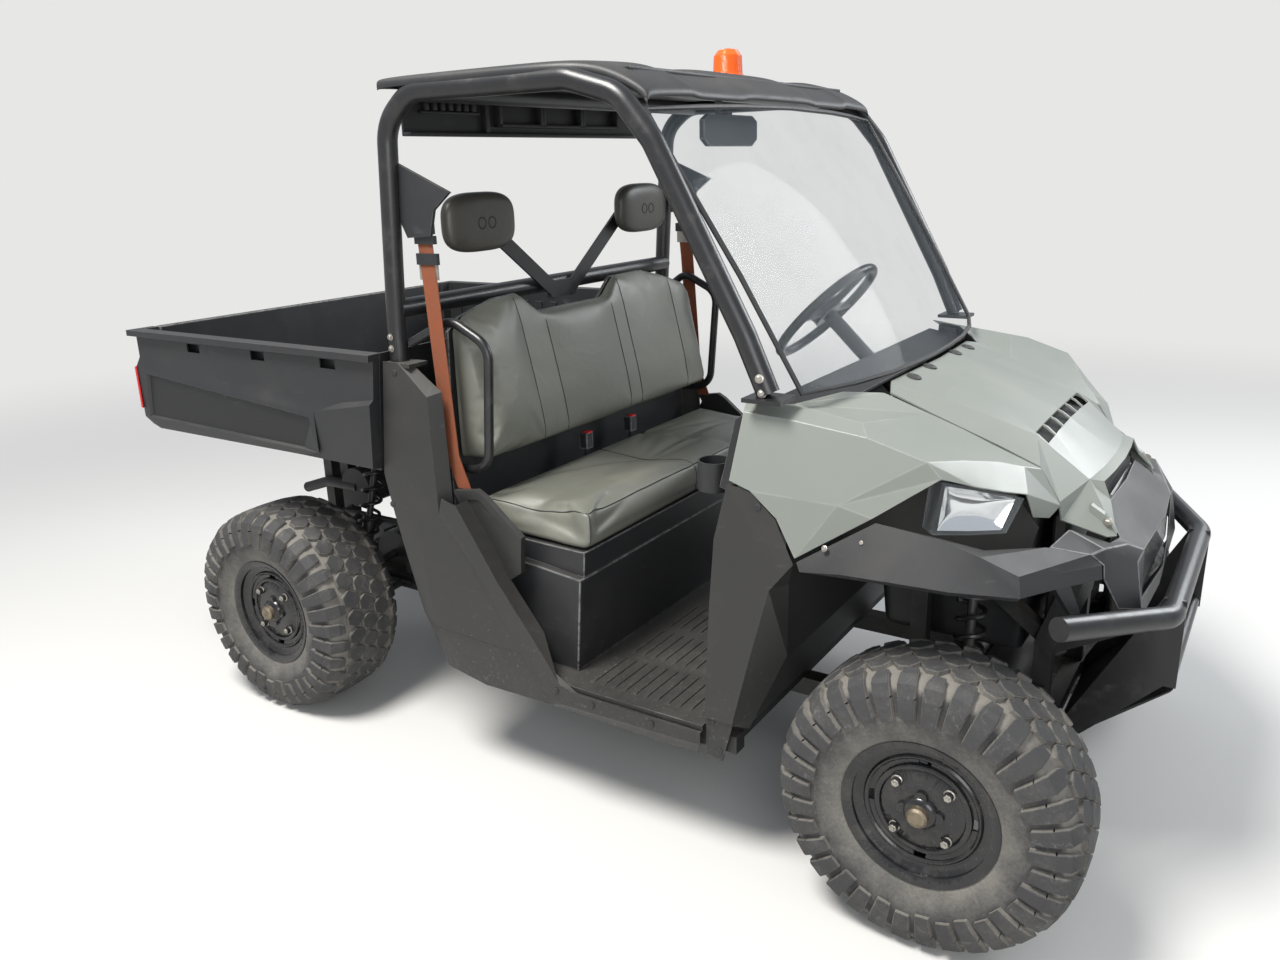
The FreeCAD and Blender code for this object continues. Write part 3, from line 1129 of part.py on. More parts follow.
# Front and rear suspension: wishbones from the chassis to the ball joints, and
# the rear hub carriers with their half shafts.
front_links = []
rear_links = []
springs = []
for hand, side in (("right", -1), ("left", 1)):
    def flip(x, y, z):
        return (x, y * side, z)

    for level, base_z, pivot in (("upper", axle_z + 102, (262.3, 428)),
                                 ("lower", axle_z - 102, (245, 237.7))):
        eye = rod(f"front_{level}_eye_{hand}", flip(front_x, kingpin, base_z - 9),
                  flip(front_x, kingpin, base_z + 9), 22, 8 + fit)
        front_links.append(eye)
        inner_y, inner_z = pivot
        front_links.append(rod(f"front_{level}_pivot_{hand}", flip(905, inner_y, inner_z),
                               flip(1230, inner_y, inner_z), 12))
        for index, shift in enumerate((-105, 105)):
            front_links.append(rod(f"front_{level}_leg_{index}_{hand}",
                                   flip(front_x + shift * 0.1, kingpin - 16, base_z),
                                   flip(front_x + shift, inner_y, inner_z), 9))
    front_links.append(block(f"front_shock_seat_{hand}",
                             (front_x - 55, 430 * side - 15, axle_z - 105),
                             (front_x + 55, 430 * side + 15, axle_z - 91)))
    for level, base_z, inner_z in (("upper", axle_z + 90, 492), ("lower", axle_z - 90, 274)):
        inner_y = 262.3 if level == "upper" else 267.3
        rear_links.append(rod(f"rear_{level}_pivot_{hand}", flip(-1140, inner_y, inner_z),
                              flip(-840, inner_y, inner_z), 12))
        legs = ((15, 20), (-25, -90)) if level == "upper" else ((54, 90), (-54, -90))
        for index, (outer_shift, inner_shift) in enumerate(legs):
            rear_links.append(rod(f"rear_{level}_leg_{index}_{hand}",
                                  flip(rear_x + outer_shift, 490, base_z),
                                  flip(rear_x + inner_shift, inner_y, inner_z), 12))
        rear_links.append(rod(f"rear_{level}_hinge_{hand}", flip(rear_x - 66, 490, base_z),
                              flip(rear_x + 66, 490, base_z), 14))
    rear_links.append(block(f"rear_shock_seat_{hand}",
                            (rear_x + 34, 440 * side - 15, axle_z - 88),
                            (rear_x + 84, 440 * side + 15, axle_z - 64)))
    carrier = block(f"rear_carrier_{hand}", (rear_x - 40, 490 * side - 20, axle_z - 105),
                    (rear_x + 40, 490 * side + 20, axle_z + 105))
    rear_links.append(carrier)
    rear_out = size("rear_tread_out") - size("rear_tread_width") / 2
    disc = rear_out + size("rear_tread_width") * 0.43 - 26
    rear_links.append(rod(f"rear_stub_{hand}", flip(rear_x, 490, axle_z),
                          flip(rear_x, disc + 13.5, axle_z), stub))
    rear_links.append(rod(f"rear_shaft_{hand}", flip(rear_x, 150, axle_z + 20),
                          flip(rear_x, 490, axle_z), 14))
    for place, low_end, high_end in (
            ("front", (front_x, 430, axle_z - 84), (1060, 300, 696.3)),
            ("rear", (rear_x + 58, 440, axle_z - 60.5), (-880, 300, 770.5))):
        a = Vector(*(number(value) for value in low_end))
        b = Vector(*(number(value) for value in high_end))
        spring_a = a + (b - a) * 0.14
        spring_b = a + (b - a) * 0.88
        damper = rod(f"{place}_damper_{hand}", flip(*low_end), flip(*high_end), 12)
        spring = rod(f"{place}_spring_{hand}", flip(spring_a.x, spring_a.y, spring_a.z),
                     flip(spring_b.x, spring_b.y, spring_b.z), 30)
        springs.append(fuse(f"{place}_shock_{hand}", damper, spring))
front_links.append(rod("front_diff", (front_x, -204.7, axle_z), (front_x, 204.7, axle_z), 64))
rear_links.append(rod("rear_gearbox", (rear_x, -204.7, axle_z + 20),
                      (rear_x, 204.7, axle_z + 20), 80))
node("front_suspension", fuse("front_suspension_whole", *front_links))
node("rear_suspension", fuse("rear_suspension_whole", *rear_links))
node("shocks", group("shock_group", *springs))
rack_x = front_x - 98
rack_z = axle_z + 6
rack = rod("rack_housing", (rack_x, -150, rack_z), (rack_x, 150, rack_z), 26)
boots = []
for hand, side in (("right", -1), ("left", 1)):
    boots.append(rod(f"rack_boot_{hand}", (rack_x, 140 * side, rack_z),
                     (rack_x, 320 * side, rack_z), 31.7, 27))
    boots.append(rod(f"rack_cap_{hand}", (rack_x, 138 * side, rack_z),
                     (rack_x, 146 * side, rack_z), 31.7))
node("steering_rack", fuse("steering_rack_whole", rack, *boots))

# Engine and gearbox block between the rear rails, with the exhaust behind it.
engine = block("engine_block", (-760, -204.7, 300.3), (-330, 204.7, 640))
node("engine", engine)
silencer = rod("silencer", (-1035, -290, 600), (-1035, 150, 600), 68)
pipe = bent_tube("tail_pipe", [(-1035, -278, 600), (-1180, -278, 600), (-1300, -278, 560)], 18, 60)
strap = block("silencer_strap", (-1109.7, -245, 588), (-1090, -215, 612))
node("exhaust", fuse("exhaust_whole", silencer, pipe, strap))

# Amber beacon on the roof.
beacon = new_body("beacon_body")
turn(beacon, "beacon_dome", "YZ", 100, ((290, 1800), (290, 1900)),
     [(290, 1858), (338, 1858), (338, 1870), (333, 1880), (331, 1928), (318, 1944),
      (290, 1950)])
node("beacon", beacon)

doc.recompute()

os.makedirs("parts", exist_ok=True)
faults = [item.Label for item in doc.Objects
          if "Invalid" in item.State or "Error" in item.State]
if faults:
    raise SystemExit(f"faulty objects: {faults}")
for name, item in NODES.items():
    if item.Shape.isNull() or not item.Shape.isValid():
        raise SystemExit(f"bad shape: {name}")
    item.Shape.exportStep(f"parts/{name}.step")
print(len(NODES), "nodes")
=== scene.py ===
import bmesh
import bpy
import math
from mathutils import Matrix, Vector
from mathutils.bvhtree import BVHTree


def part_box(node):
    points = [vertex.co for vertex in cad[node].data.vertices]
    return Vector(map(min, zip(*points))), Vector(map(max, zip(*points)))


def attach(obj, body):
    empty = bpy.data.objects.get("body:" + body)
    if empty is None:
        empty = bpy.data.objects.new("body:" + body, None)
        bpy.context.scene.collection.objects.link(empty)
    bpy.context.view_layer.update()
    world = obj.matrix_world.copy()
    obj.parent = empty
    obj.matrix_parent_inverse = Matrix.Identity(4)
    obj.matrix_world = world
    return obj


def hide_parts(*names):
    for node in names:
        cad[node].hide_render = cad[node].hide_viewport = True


# A side by side utility vehicle, put together in the order of its build: wheels,
# chassis, body, cab, seats and bed. Metres; X is forward, Z up, the ground is z = 0.
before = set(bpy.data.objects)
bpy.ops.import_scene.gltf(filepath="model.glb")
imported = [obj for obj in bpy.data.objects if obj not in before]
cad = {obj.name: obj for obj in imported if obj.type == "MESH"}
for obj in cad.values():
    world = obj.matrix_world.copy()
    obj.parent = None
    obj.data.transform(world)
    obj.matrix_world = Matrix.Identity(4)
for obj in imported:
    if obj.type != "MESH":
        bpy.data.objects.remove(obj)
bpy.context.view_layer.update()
scene = bpy.context.scene
scene.view_settings.view_transform = "Standard"


def with_settings(thing, **settings):
    """Set several properties of a new camera, lamp, node or modifier."""
    for key, value in settings.items():
        setattr(thing, key, value)
    return thing


def add_piece(name, data):
    """An object of this name in the scene."""
    piece = bpy.data.objects.new(name, data)
    scene.collection.objects.link(piece)
    return piece


# Viewpoint: standing height off the right front corner, looking back and down.
EYE = (1.622, -2.5525, 1.6293)
TO_THE_RIGHT = (0.8396, 0.5425, -0.0268)
UPWARDS = (-0.1381, 0.2610, 0.9554)
FOCAL_LENGTH = 28.73
SENSOR_WIDTH = 36


def set_up_camera():
    camera = add_piece("viewpoint", with_settings(
        bpy.data.cameras.new("viewpoint"), lens=FOCAL_LENGTH, sensor_width=SENSOR_WIDTH,
        clip_end=200))
    x, y = Vector(TO_THE_RIGHT).normalized(), Vector(UPWARDS).normalized()
    turn = Matrix((x, y, x.cross(y))).transposed().to_4x4()
    camera.matrix_world = Matrix.Translation(EYE) @ turn
    scene.camera = camera


set_up_camera()


class Wire:
    """A socket in a finish, with arithmetic."""

    def __init__(self, finish, socket):
        self.finish = finish
        self.socket = socket

    def maths(self, operation, *others):
        values = dict(enumerate((self, *others)))
        return self.finish.add("Math", {"operation": operation}, values)

    def __add__(self, other):
        return self.maths("ADD", other)

    def __sub__(self, other):
        return self.maths("SUBTRACT", other)

    def __mul__(self, other):
        return self.maths("MULTIPLY", other)

    def __rsub__(self, other):
        return self.finish.add("Math", {"operation": "SUBTRACT"}, {0: other, 1: self})

    __radd__ = __add__
    __rmul__ = __mul__

    def above(self, low, high):
        """0 below low, 1 above high, smooth between."""
        return self.finish.add("MapRange", {"interpolation_type": "SMOOTHSTEP"},
                               {"Value": self, "From Min": low, "From Max": high})


class Finish:
    """A surface finish: a principled shader whose nodes are added one by one."""

    def __init__(self, name):
        self.material = bpy.data.materials.new(name)
        self.material.use_nodes = True
        self.tree = self.material.node_tree
        self.shader = self.tree.nodes["Principled BSDF"]

    def add(self, kind, settings=None, sockets=None, out=0):
        """A node with its settings and its sockets' values or wires; gives one output."""
        node = with_settings(self.tree.nodes.new("ShaderNode" + kind), **(settings or {}))
        self.fill(node, sockets or {})
        return Wire(self, node.outputs[out])

    def fill(self, node, sockets):
        for key, value in sockets.items():
            if isinstance(value, Wire):
                self.tree.links.new(value.socket, node.inputs[key])
            else:
                node.inputs[key].default_value = value

    def place(self, scale=(1, 1, 1)):
        return self.add("Mapping", {}, {
            "Vector": self.add("TexCoord", out="Object"), "Scale": scale})

    def noise(self, scale, detail=4, roughness=0.6, vector=None, distortion=0):
        return self.add("TexNoise", {}, {
            "Vector": vector or self.place(), "Scale": scale, "Detail": detail,
            "Roughness": roughness, "Distortion": distortion})

    def bands(self, direction, scale):
        return self.add("TexWave", {"wave_type": "BANDS", "bands_direction": direction},
                        {"Vector": self.place(), "Scale": scale})

    def layer(self, name):
        """A value stored on the mesh."""
        return self.add("Attribute", {"attribute_name": name}, out=2)

    def facing_up(self):
        """1 on level tops, 0 on walls, -1 underneath."""
        return self.add("SeparateXYZ", {}, {0: self.add("TexCoord", out="Normal")}, out=2)

    def blend(self, amount, first, second):
        return self.add("Mix", {"data_type": "RGBA"}, {
            "Factor": amount, 6: first, 7: second}, out=2)

    def bump(self, height, distance, strength=1.0, under=None):
        sockets = {"Height": height, "Distance": distance, "Strength": strength}
        if under:
            sockets["Normal"] = under
        return self.add("Bump", {}, sockets)

    def wear(self, **sockets):
        """Fill the shader's sockets, named with _ for a space, and give the material."""
        self.fill(self.shader, {key.replace("_", " "): value
                                for key, value in sockets.items()})
        return self.material


def paint(thing, material):
    """Give the whole piece one finish."""
    thing.data.materials.clear()
    thing.data.materials.append(material)
    return thing


# Ground and light: a pale floor that fades into an even backdrop, one broad lamp
# overhead, a rim lamp behind and a soft fill.
BACKDROP = (0.80, 0.80, 0.79, 1)
SKY_LIGHT = (0.50, 0.53, 0.58, 1)
FLOOR_GREY = (0.56, 0.555, 0.54, 1)
UNLIT = (0, 0, 0, 1)
FLOOR_REACH = 60
FADE = (2.6, 8.0)
LAMPS = (  # name, place, aim, width, power, tint
    ("key_lamp", (-0.6, -2.6, 5.4), (0.1, 0, 0.6), 2.0, 520, (1, 0.98, 0.94)),
    ("rim_lamp", (3.2, 4.0, 3.6), (0.3, 0, 0.8), 2.6, 190, (0.95, 0.98, 1)),
    ("fill_lamp", (3.8, -4.4, 2.2), (0.2, 0, 0.6), 3.0, 120, (1, 1, 1)))


def lay_floor():
    """A floor whose own colour gives way to the backdrop's glow with distance."""
    mesh = bpy.data.meshes.new("floor_stage")
    mesh.from_pydata([(x * FLOOR_REACH, y * FLOOR_REACH, 0)
                      for x, y in ((-1, -1), (1, -1), (1, 1), (-1, 1))], [],
                     [(0, 1, 2, 3)])
    floor = add_piece("floor_stage", mesh)
    ground = Finish("studio_floor")
    span = ground.add("VectorMath", {"operation": "LENGTH"}, {0: ground.place()}, out=1)
    far = span.above(*FADE)
    paint(floor, ground.wear(
        Base_Color=ground.blend(far, FLOOR_GREY, UNLIT), Roughness=1.0,
        Specular_IOR_Level=0.0, Emission_Strength=1.0,
        Emission_Color=ground.blend(far, UNLIT, BACKDROP)))


def join(tree, *wires):
    for start, end in wires:
        tree.links.new(start, end)


def hang_backdrop():
    """The backdrop is seen straight on and through glass; the sky gives the light."""
    world = bpy.data.worlds.new("studio")
    scene.world = world
    world.use_nodes = True
    tree = world.node_tree
    path = tree.nodes.new("ShaderNodeLightPath")
    either = with_settings(tree.nodes.new("ShaderNodeMath"), operation="MAXIMUM")
    seen = with_settings(tree.nodes.new("ShaderNodeMix"), data_type="RGBA")
    seen.inputs[6].default_value = SKY_LIGHT
    seen.inputs[7].default_value = BACKDROP
    join(tree, (path.outputs["Is Camera Ray"], either.inputs[0]),
         (path.outputs["Is Transmission Ray"], either.inputs[1]),
         (either.outputs[0], seen.inputs[0]),
         (seen.outputs[2], tree.nodes["Background"].inputs["Color"]))


def hang_lamps():
    for name, place, aim, width, power, tint in LAMPS:
        lamp = with_settings(bpy.data.lights.new(name, "AREA"), shape="DISK", size=width,
                             energy=power, color=tint)
        beam = Vector(aim) - Vector(place)
        with_settings(add_piece(name, lamp), location=place,
                      rotation_euler=beam.to_track_quat("-Z", "Y").to_euler())


lay_floor()
hang_backdrop()
hang_lamps()


# Tyres: six-ply mud tyres, black rubber greyed by dust. Two rows of shoulder lugs wrap
# onto the sidewalls round three rows of six-sided blocks; one pitch repeats 17 times.
CORNERS = ("front_right", "front_left", "rear_right", "rear_left")
HALF_WIDTHS = {"front": 0.115, "rear": 0.1375}
PITCHES = 17
PITCH = 2 * math.pi / PITCHES
LUG_HEIGHT = 0.0115
LUG_CHAMFER = 0.0022
LUG_LEVELS = (  # height over the casing, inset of the flanks, dirt
    (-0.001, -0.0012, 1.0), (LUG_HEIGHT - 0.002, 0, 0.62),
    (LUG_HEIGHT, LUG_CHAMFER, 0.10))
CASING_STEPS = 102
CROWN = 0.285  # the casing beyond this radius is caked with dirt


def section_of(half):
    """Outline of the casing from the crown to the bead: sideways distance, radius."""
    return [(0, 0.3145), (half * 0.35, 0.3138), (half * 0.62, 0.3108), (half * 0.8, 0.3045),
            (half * 0.895, 0.2945), (half * 0.94, 0.278), (half * 0.965, 0.262),
            (half * 0.985, 0.244), (half * 0.985, 0.226), (half * 0.955, 0.205),
            (half * 0.90, 0.187), (half * 0.875, 0.178), (half * 0.845, 0.170)]


def along_section(outline, travel):
    """Point and outward direction at a distance along the outline from the crown."""
    side = -1 if travel < 0 else 1
    left = abs(travel)
    for (y0, r0), (y1, r1) in zip(outline, outline[1:]):
        step = math.hypot(y1 - y0, r1 - r0)
        if left <= step:
            t = left / step
            return (side * (y0 + (y1 - y0) * t), r0 + (r1 - r0) * t,
                    side * (r0 - r1) / step, (y1 - y0) / step)
        left -= step
    raise ValueError("past the bead")


def tread_block(shape, dirt, outline, rows):
    """One rubber block: rows of (distance from the crown, first angle, last angle)."""
    rings = []
    for index, (travel, low, high) in enumerate(rows):
        y, r, out_y, out_r = along_section(outline, travel)
        end = (index == 0) - (index == len(rows) - 1)
        ring = []
        for lift, inset, grime in LUG_LEVELS:
            slide = LUG_CHAMFER * end if lift == LUG_HEIGHT else 0
            across = y + out_y * lift + out_r * slide
            reach = r + out_r * lift - out_y * slide
            for angle in (low + inset / r, high - inset / r):
                vert = shape.verts.new((reach * math.sin(angle), across,
                                        reach * math.cos(angle)))
                vert[dirt] = grime
                ring.append(vert)
        rings.append(ring)
    for near, far in zip(rings, rings[1:]):
        for a, b in ((0, 2), (2, 4), (4, 5), (5, 3), (3, 1)):
            shape.faces.new((near[a], near[b], far[b], far[a]))
    for ring in (rings[0], rings[-1]):
        shape.faces.new((ring[0], ring[1], ring[3], ring[2]))
        shape.faces.new((ring[2], ring[3], ring[5], ring[4]))


def as_mesh(shape, name):
    """Turn a built shape into a mesh."""
    mesh = bpy.data.meshes.new(name)
    shape.to_mesh(mesh)
    shape.free()
    return mesh


def one_pitch(half):
    """The blocks of one repeat of the tread: lugs on both shoulders, then the crown."""
    shape = bmesh.new()
    dirt = shape.verts.layers.float.new("dirt")
    outline = section_of(half)
    edge = half * 0.60
    wall = half + 0.062
    wide = PITCH * 0.178
    for lug in (0, 1):
        start = edge if lug else edge + 0.010
        shoulder = ((start, 0.62, 0.72), (start + 0.016, 0.95, 0.85),
                    (half * 0.93, 1, 1), (half + 0.012, 1, 1))
        flank = ((half + 0.0155, 1, 1), (half + 0.036, 0.98, 0.98),
                 (wall - (0.008 if lug else 0), 0.93, 0.93))
        for side in (-1, 1):
            turn = (lug + 0.5) * PITCH / 2 + side * PITCH * 0.07
            for rows in (shoulder, flank):
                tread_block(shape, dirt, outline, [
                    (side * travel, turn - wide * before, turn + wide * behind)
                    for travel, before, behind in rows])
    span = (edge - 0.002) / 3
    tall = span * 1.04
    wide = PITCH * 0.238
    for row in (-1, 0, 1):
        lean = PITCH * 0.02 * row
        centre = row * span * 1.90
        for turn in (0, 1):
            middle = (turn + (0.5 if row == 0 else 0.02)) * PITCH / 2
            tread_block(shape, dirt, outline, [
                (centre - tall, middle - wide * 0.50 - lean, middle + wide * 0.38 - lean),
                (centre - tall * 0.12, middle - wide, middle + wide * 0.94),
                (centre + tall * 0.12, middle - wide * 0.94, middle + wide),
                (centre + tall, middle - wide * 0.38 + lean, middle + wide * 0.50 + lean)])
    bmesh.ops.recalc_face_normals(shape, faces=shape.faces)
    return as_mesh(shape, "tread_pitch")


def copies_tree(name, **inputs):
    """A node tree that sets coated copies on points: the tree, its inputs, the setter."""
    tree = bpy.data.node_groups.new(name, "GeometryNodeTree")
    for label, kind in inputs.items():
        tree.interface.new_socket(label, in_out="INPUT", socket_type="NodeSocket" + kind)
    tree.interface.new_socket("Copies", in_out="OUTPUT", socket_type="NodeSocketGeometry")
    source = tree.nodes.new("NodeGroupInput")
    copies = tree.nodes.new("GeometryNodeInstanceOnPoints")
    real = tree.nodes.new("GeometryNodeRealizeInstances")
    coat = tree.nodes.new("GeometryNodeSetMaterial")
    result = tree.nodes.new("NodeGroupOutput")
    join(tree, (copies.outputs[0], real.inputs[0]), (real.outputs[0], coat.inputs[0]),
         (source.outputs["Material"], coat.inputs["Material"]),
         (coat.outputs[0], result.inputs[0]))
    return tree, source, copies


def round_the_wheel():
    """Node tree that sets one pitch of tread round the axle."""
    tree, source, copies = copies_tree("tread_round_wheel", Pitch="Geometry", Count="Int",
                                       Material="Material")
    dots = tree.nodes.new("GeometryNodePoints")
    step = with_settings(tree.nodes.new("ShaderNodeMath"), operation="DIVIDE")
    step.inputs[0].default_value = 2 * math.pi
    index = tree.nodes.new("GeometryNodeInputIndex")
    angle = with_settings(tree.nodes.new("ShaderNodeMath"), operation="MULTIPLY")
    spin = tree.nodes.new("ShaderNodeCombineXYZ")
    join(tree, (source.outputs["Count"], dots.inputs["Count"]),
         (source.outputs["Count"], step.inputs[1]), (step.outputs[0], angle.inputs[0]),
         (index.outputs[0], angle.inputs[1]), (angle.outputs[0], spin.inputs["Y"]),
         (dots.outputs[0], copies.inputs["Points"]),
         (source.outputs["Pitch"], copies.inputs["Instance"]),
         (spin.outputs[0], copies.inputs["Rotation"]))
    return tree


def set_inputs(modifier, **values):
    """Fill a node modifier's inputs by their names."""
    for item in modifier.node_group.interface.items_tree:
        if item.item_type == "SOCKET" and item.in_out == "INPUT" and item.name in values:
            modifier[item.identifier] = values[item.name]


def plain_mesh(thing, name):
    """The evaluated shape of an object as a mesh of its own."""
    bpy.context.view_layer.update()
    solid = thing.evaluated_get(bpy.context.evaluated_depsgraph_get())
    mesh = bpy.data.meshes.new_from_object(solid)
    mesh.name = name
    return mesh


def remove(thing):
    bpy.data.objects.remove(thing)


def dusty_rubber():
    rubber = Finish("dusty_tyre_rubber")
    dirt = rubber.layer("dirt")
    cloud = rubber.noise(9, 6, 0.65)
    fine = rubber.noise(160, 3, 0.7)
    dust = (dirt * 0.75 + (cloud - 0.42) * 1.1 + (fine - 0.5) * 0.5).above(0.05, 0.95)
    scuff = rubber.noise(34, 8, 0.75, distortion=1.2).above(0.56, 0.72)
    base = rubber.blend(scuff * 0.6, (0.030, 0.030, 0.031, 1), (0.15, 0.148, 0.142, 1))
    base = rubber.blend(dust * 0.72, base, (0.21, 0.196, 0.172, 1))
    return rubber.wear(
        Base_Color=base, Roughness=0.72 + dust * 0.2,
        Normal=rubber.bump(fine * 0.5 + cloud, 0.0012, 0.6))


def turned(steps):
    """Cosine and sine of the angles that part a circle into equal steps."""
    angles = [2 * math.pi * turn / steps for turn in range(steps)]
    return [(math.cos(angle), math.sin(angle)) for angle in angles]


def skin(shape, rings, closed=False, looped=False):
    """Faces between rows of points; closed joins a row's ends, looped the first row."""
    faces = []
    for near, far in zip(rings, rings[1:] + rings[:looped]):
        for index in range(len(near) - (not closed)):
            after = (index + 1) % len(near)
            faces.append(shape.faces.new((near[index], near[after], far[after],
                                          far[index])))
    return faces


def make_tyre(corner):
    """The tread round a casing whose inner wall closes the section at the beads."""
    half = HALF_WIDTHS[corner.split("_")[0]]
    low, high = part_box(f"tyre_{corner}")
    pitch = add_piece("pitch", one_pitch(half))
    ring = with_settings(pitch.modifiers.new("round", "NODES"), node_group=ROUND)
    set_inputs(ring, Count=PITCHES, Material=RUBBER)
    tread = plain_mesh(pitch, "tread")
    remove(pitch)
    shape = bmesh.new()
    shape.from_mesh(tread)
    dirt = shape.verts.layers.float["dirt"]
    outer = section_of(half)
    inner = [(half * 0.80, 0.162), (half * 0.70, 0.158), (half * 0.74, 0.19),
             (half * 0.82, 0.24), (half * 0.7, 0.288), (0, 0.296)]
    around = outer + inner + [(-y, r) for y, r in reversed(outer[1:] + inner[:-1])]
    rings = []
    for cosine, sine in turned(CASING_STEPS):
        ring = []
        for y, r in around:
            vert = shape.verts.new((r * sine, y, r * cosine))
            vert[dirt] = 1.0 if r > CROWN else max(0.0, (CROWN - r) * 6.0 - 0.02)
            ring.append(vert)
        rings.append(ring)
    casing = skin(shape, rings, closed=True, looped=True)
    bmesh.ops.recalc_face_normals(shape, faces=casing)
    for flat in casing:
        flat.smooth = True
    shape.transform(Matrix.Translation((low + high) / 2))
    mesh = as_mesh(shape, f"tyre_{corner}_rubber")
    tyre = paint(add_piece(f"tyre_{corner}_tread", mesh), RUBBER)
    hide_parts(f"tyre_{corner}")
    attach(tyre, f"wheel_{corner}")


RUBBER = dusty_rubber()
ROUND = round_the_wheel()
for corner in CORNERS:
    make_tyre(corner)


# Steel rims: pressed discs welded into rolled wells, painted black. Four plated nuts on a
# 156 mm circle, a stepped bead round the dish, and a brass-coloured dust cap.
# Outlines are (distance out of the disc, radius).
FLANGE = 0.43  # of the tyre's width, from its middle
DISC_DEPTH = 0.026
NUT_CIRCLE = 0.078
WASHER = [(0.001, 0), (0.001, 0.0125), (0.003, 0.0125), (0.0045, 0.0105), (0.0045, 0)]
NUT = [(0.0045, 0), (0.0045, 0.0096), (0.0150, 0.0096), (0.0168, 0.0080), (0.0168, 0)]
STUD_END = [(0.0168, 0), (0.0168, 0.0045), (0.0200, 0.0040), (0.0200, 0)]
DISH_BEADS = ((0.1225, 0.0035), (0.0985, 0.0022), (0.060, 0.003))
HUB = [(0.002, 0.040), (0.010, 0.0385), (0.017, 0.034), (0.022, 0.027), (0.0235, 0)]
DUST_CAP = [(0.022, 0.0235), (0.0345, 0.0225), (0.0395, 0.0175), (0.0405, 0.009),
            (0.0405, 0)]


def shade(shape, fold):
    """Smooth faces that break at edges folded by more than this angle in degrees."""
    for flat in shape.faces:
        flat.smooth = True
    for edge in shape.edges:
        edge.smooth = (len(edge.link_faces) == 2
                       and edge.calc_face_angle(0) < math.radians(fold))


def rounded_copy(node_name, radius, fold=30, steps=2, shortest=None):
    """A CAD node's shape with its corners softened, as pressing or moulding leaves them."""
    shape = bmesh.new()
    shape.from_mesh(cad[node_name].data)
    bmesh.ops.remove_doubles(shape, verts=shape.verts, dist=0.00004)
    bmesh.ops.dissolve_limit(shape, angle_limit=math.radians(0.6), verts=shape.verts,
                             edges=shape.edges)
    if radius:
        shortest = shortest or radius * 2.2
        sharp = [edge for edge in shape.edges
                 if len(edge.link_faces) == 2 and edge.calc_length() > shortest
                 and edge.calc_face_angle(0) > math.radians(fold)]
        # Rounded faces are marked 'edge'; finishes paint them lighter, partly for rubbed
        # wear, partly as a painted highlight.
        paler = shape.faces.layers.float.new("edge")
        rounded = bmesh.ops.bevel(shape, geom=sharp, offset=radius, offset_type="OFFSET",
                                  segments=steps, profile=0.6, affect="EDGES",
                                  clamp_overlap=True)
        for flat in rounded["faces"]:
            flat[paler] = 1.0
    shade(shape, 32)
    return as_mesh(shape, node_name + "_form")


def even_out(piece):
    """Even shading over a softened copy."""
    with_settings(piece.modifiers.new("even", "WEIGHTED_NORMAL"), keep_sharp=True)


def dress(node_name, body, slot, material, radius, **kinds):
    """Show a CAD node through a softened copy with its finish."""
    piece = paint(add_piece(node_name + "_dressed", rounded_copy(node_name, radius, **kinds)),
                  material)
    even_out(piece)
    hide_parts(node_name)
    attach(piece, body)


def settle(name, shape, material, body):
    """Make a built shape a piece that rides on a body."""
    bmesh.ops.remove_doubles(shape, verts=shape.verts, dist=0.00002)
    bmesh.ops.recalc_face_normals(shape, faces=shape.faces)
    shade(shape, 35)
    piece = paint(add_piece(name, as_mesh(shape, name)), material)
    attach(piece, body)
    return piece


def lathe(shape, centre, along, outline, steps=32):
    """Turn an outline of (distance along the axis, radius) about an axis."""
    along = Vector(along).normalized()
    first = along.orthogonal().normalized()
    second = along.cross(first)
    rings = []
    for cosine, sine in turned(steps):
        out = first * cosine + second * sine
        rings.append([shape.verts.new(Vector(centre) + along * distance + out * radius)
                      for distance, radius in outline])
    skin(shape, rings, looped=True)


def metal(name, colour, roughness, grime):
    """Bare or plated metal with a little grime in patches."""
    coat = Finish(name)
    cloud = coat.noise(40, 5, 0.7).above(0.42, 0.72)
    base = coat.blend(cloud * grime, colour, (0.10, 0.085, 0.065, 1))
    return coat.wear(Base_Color=base, Roughness=roughness + cloud * 0.25, Metallic=0.9,
                     Normal=coat.bump(coat.noise(300, 2), 0.0002, 0.4))


def black_rim_paint():
    coat = Finish("black_rim_paint")
    dust = coat.noise(14, 6, 0.7).above(0.45, 0.75)
    chips = coat.noise(120, 5, 0.6).above(0.66, 0.7)
    base = coat.blend(dust * 0.22, (0.012, 0.012, 0.013, 1), (0.13, 0.12, 0.105, 1))
    base = coat.blend(chips * 0.4, base, (0.13, 0.12, 0.11, 1))
    return coat.wear(Base_Color=base, Roughness=0.22 + dust * 0.3,
                     Normal=coat.bump(coat.noise(60, 3), 0.0006, 0.35))


RIM_PAINT = black_rim_paint()
ZINC = metal("zinc_plate", (0.40, 0.38, 0.34, 1), 0.38, 0.5)
BRASS = metal("dull_brass", (0.24, 0.20, 0.145, 1), 0.46, 0.6)


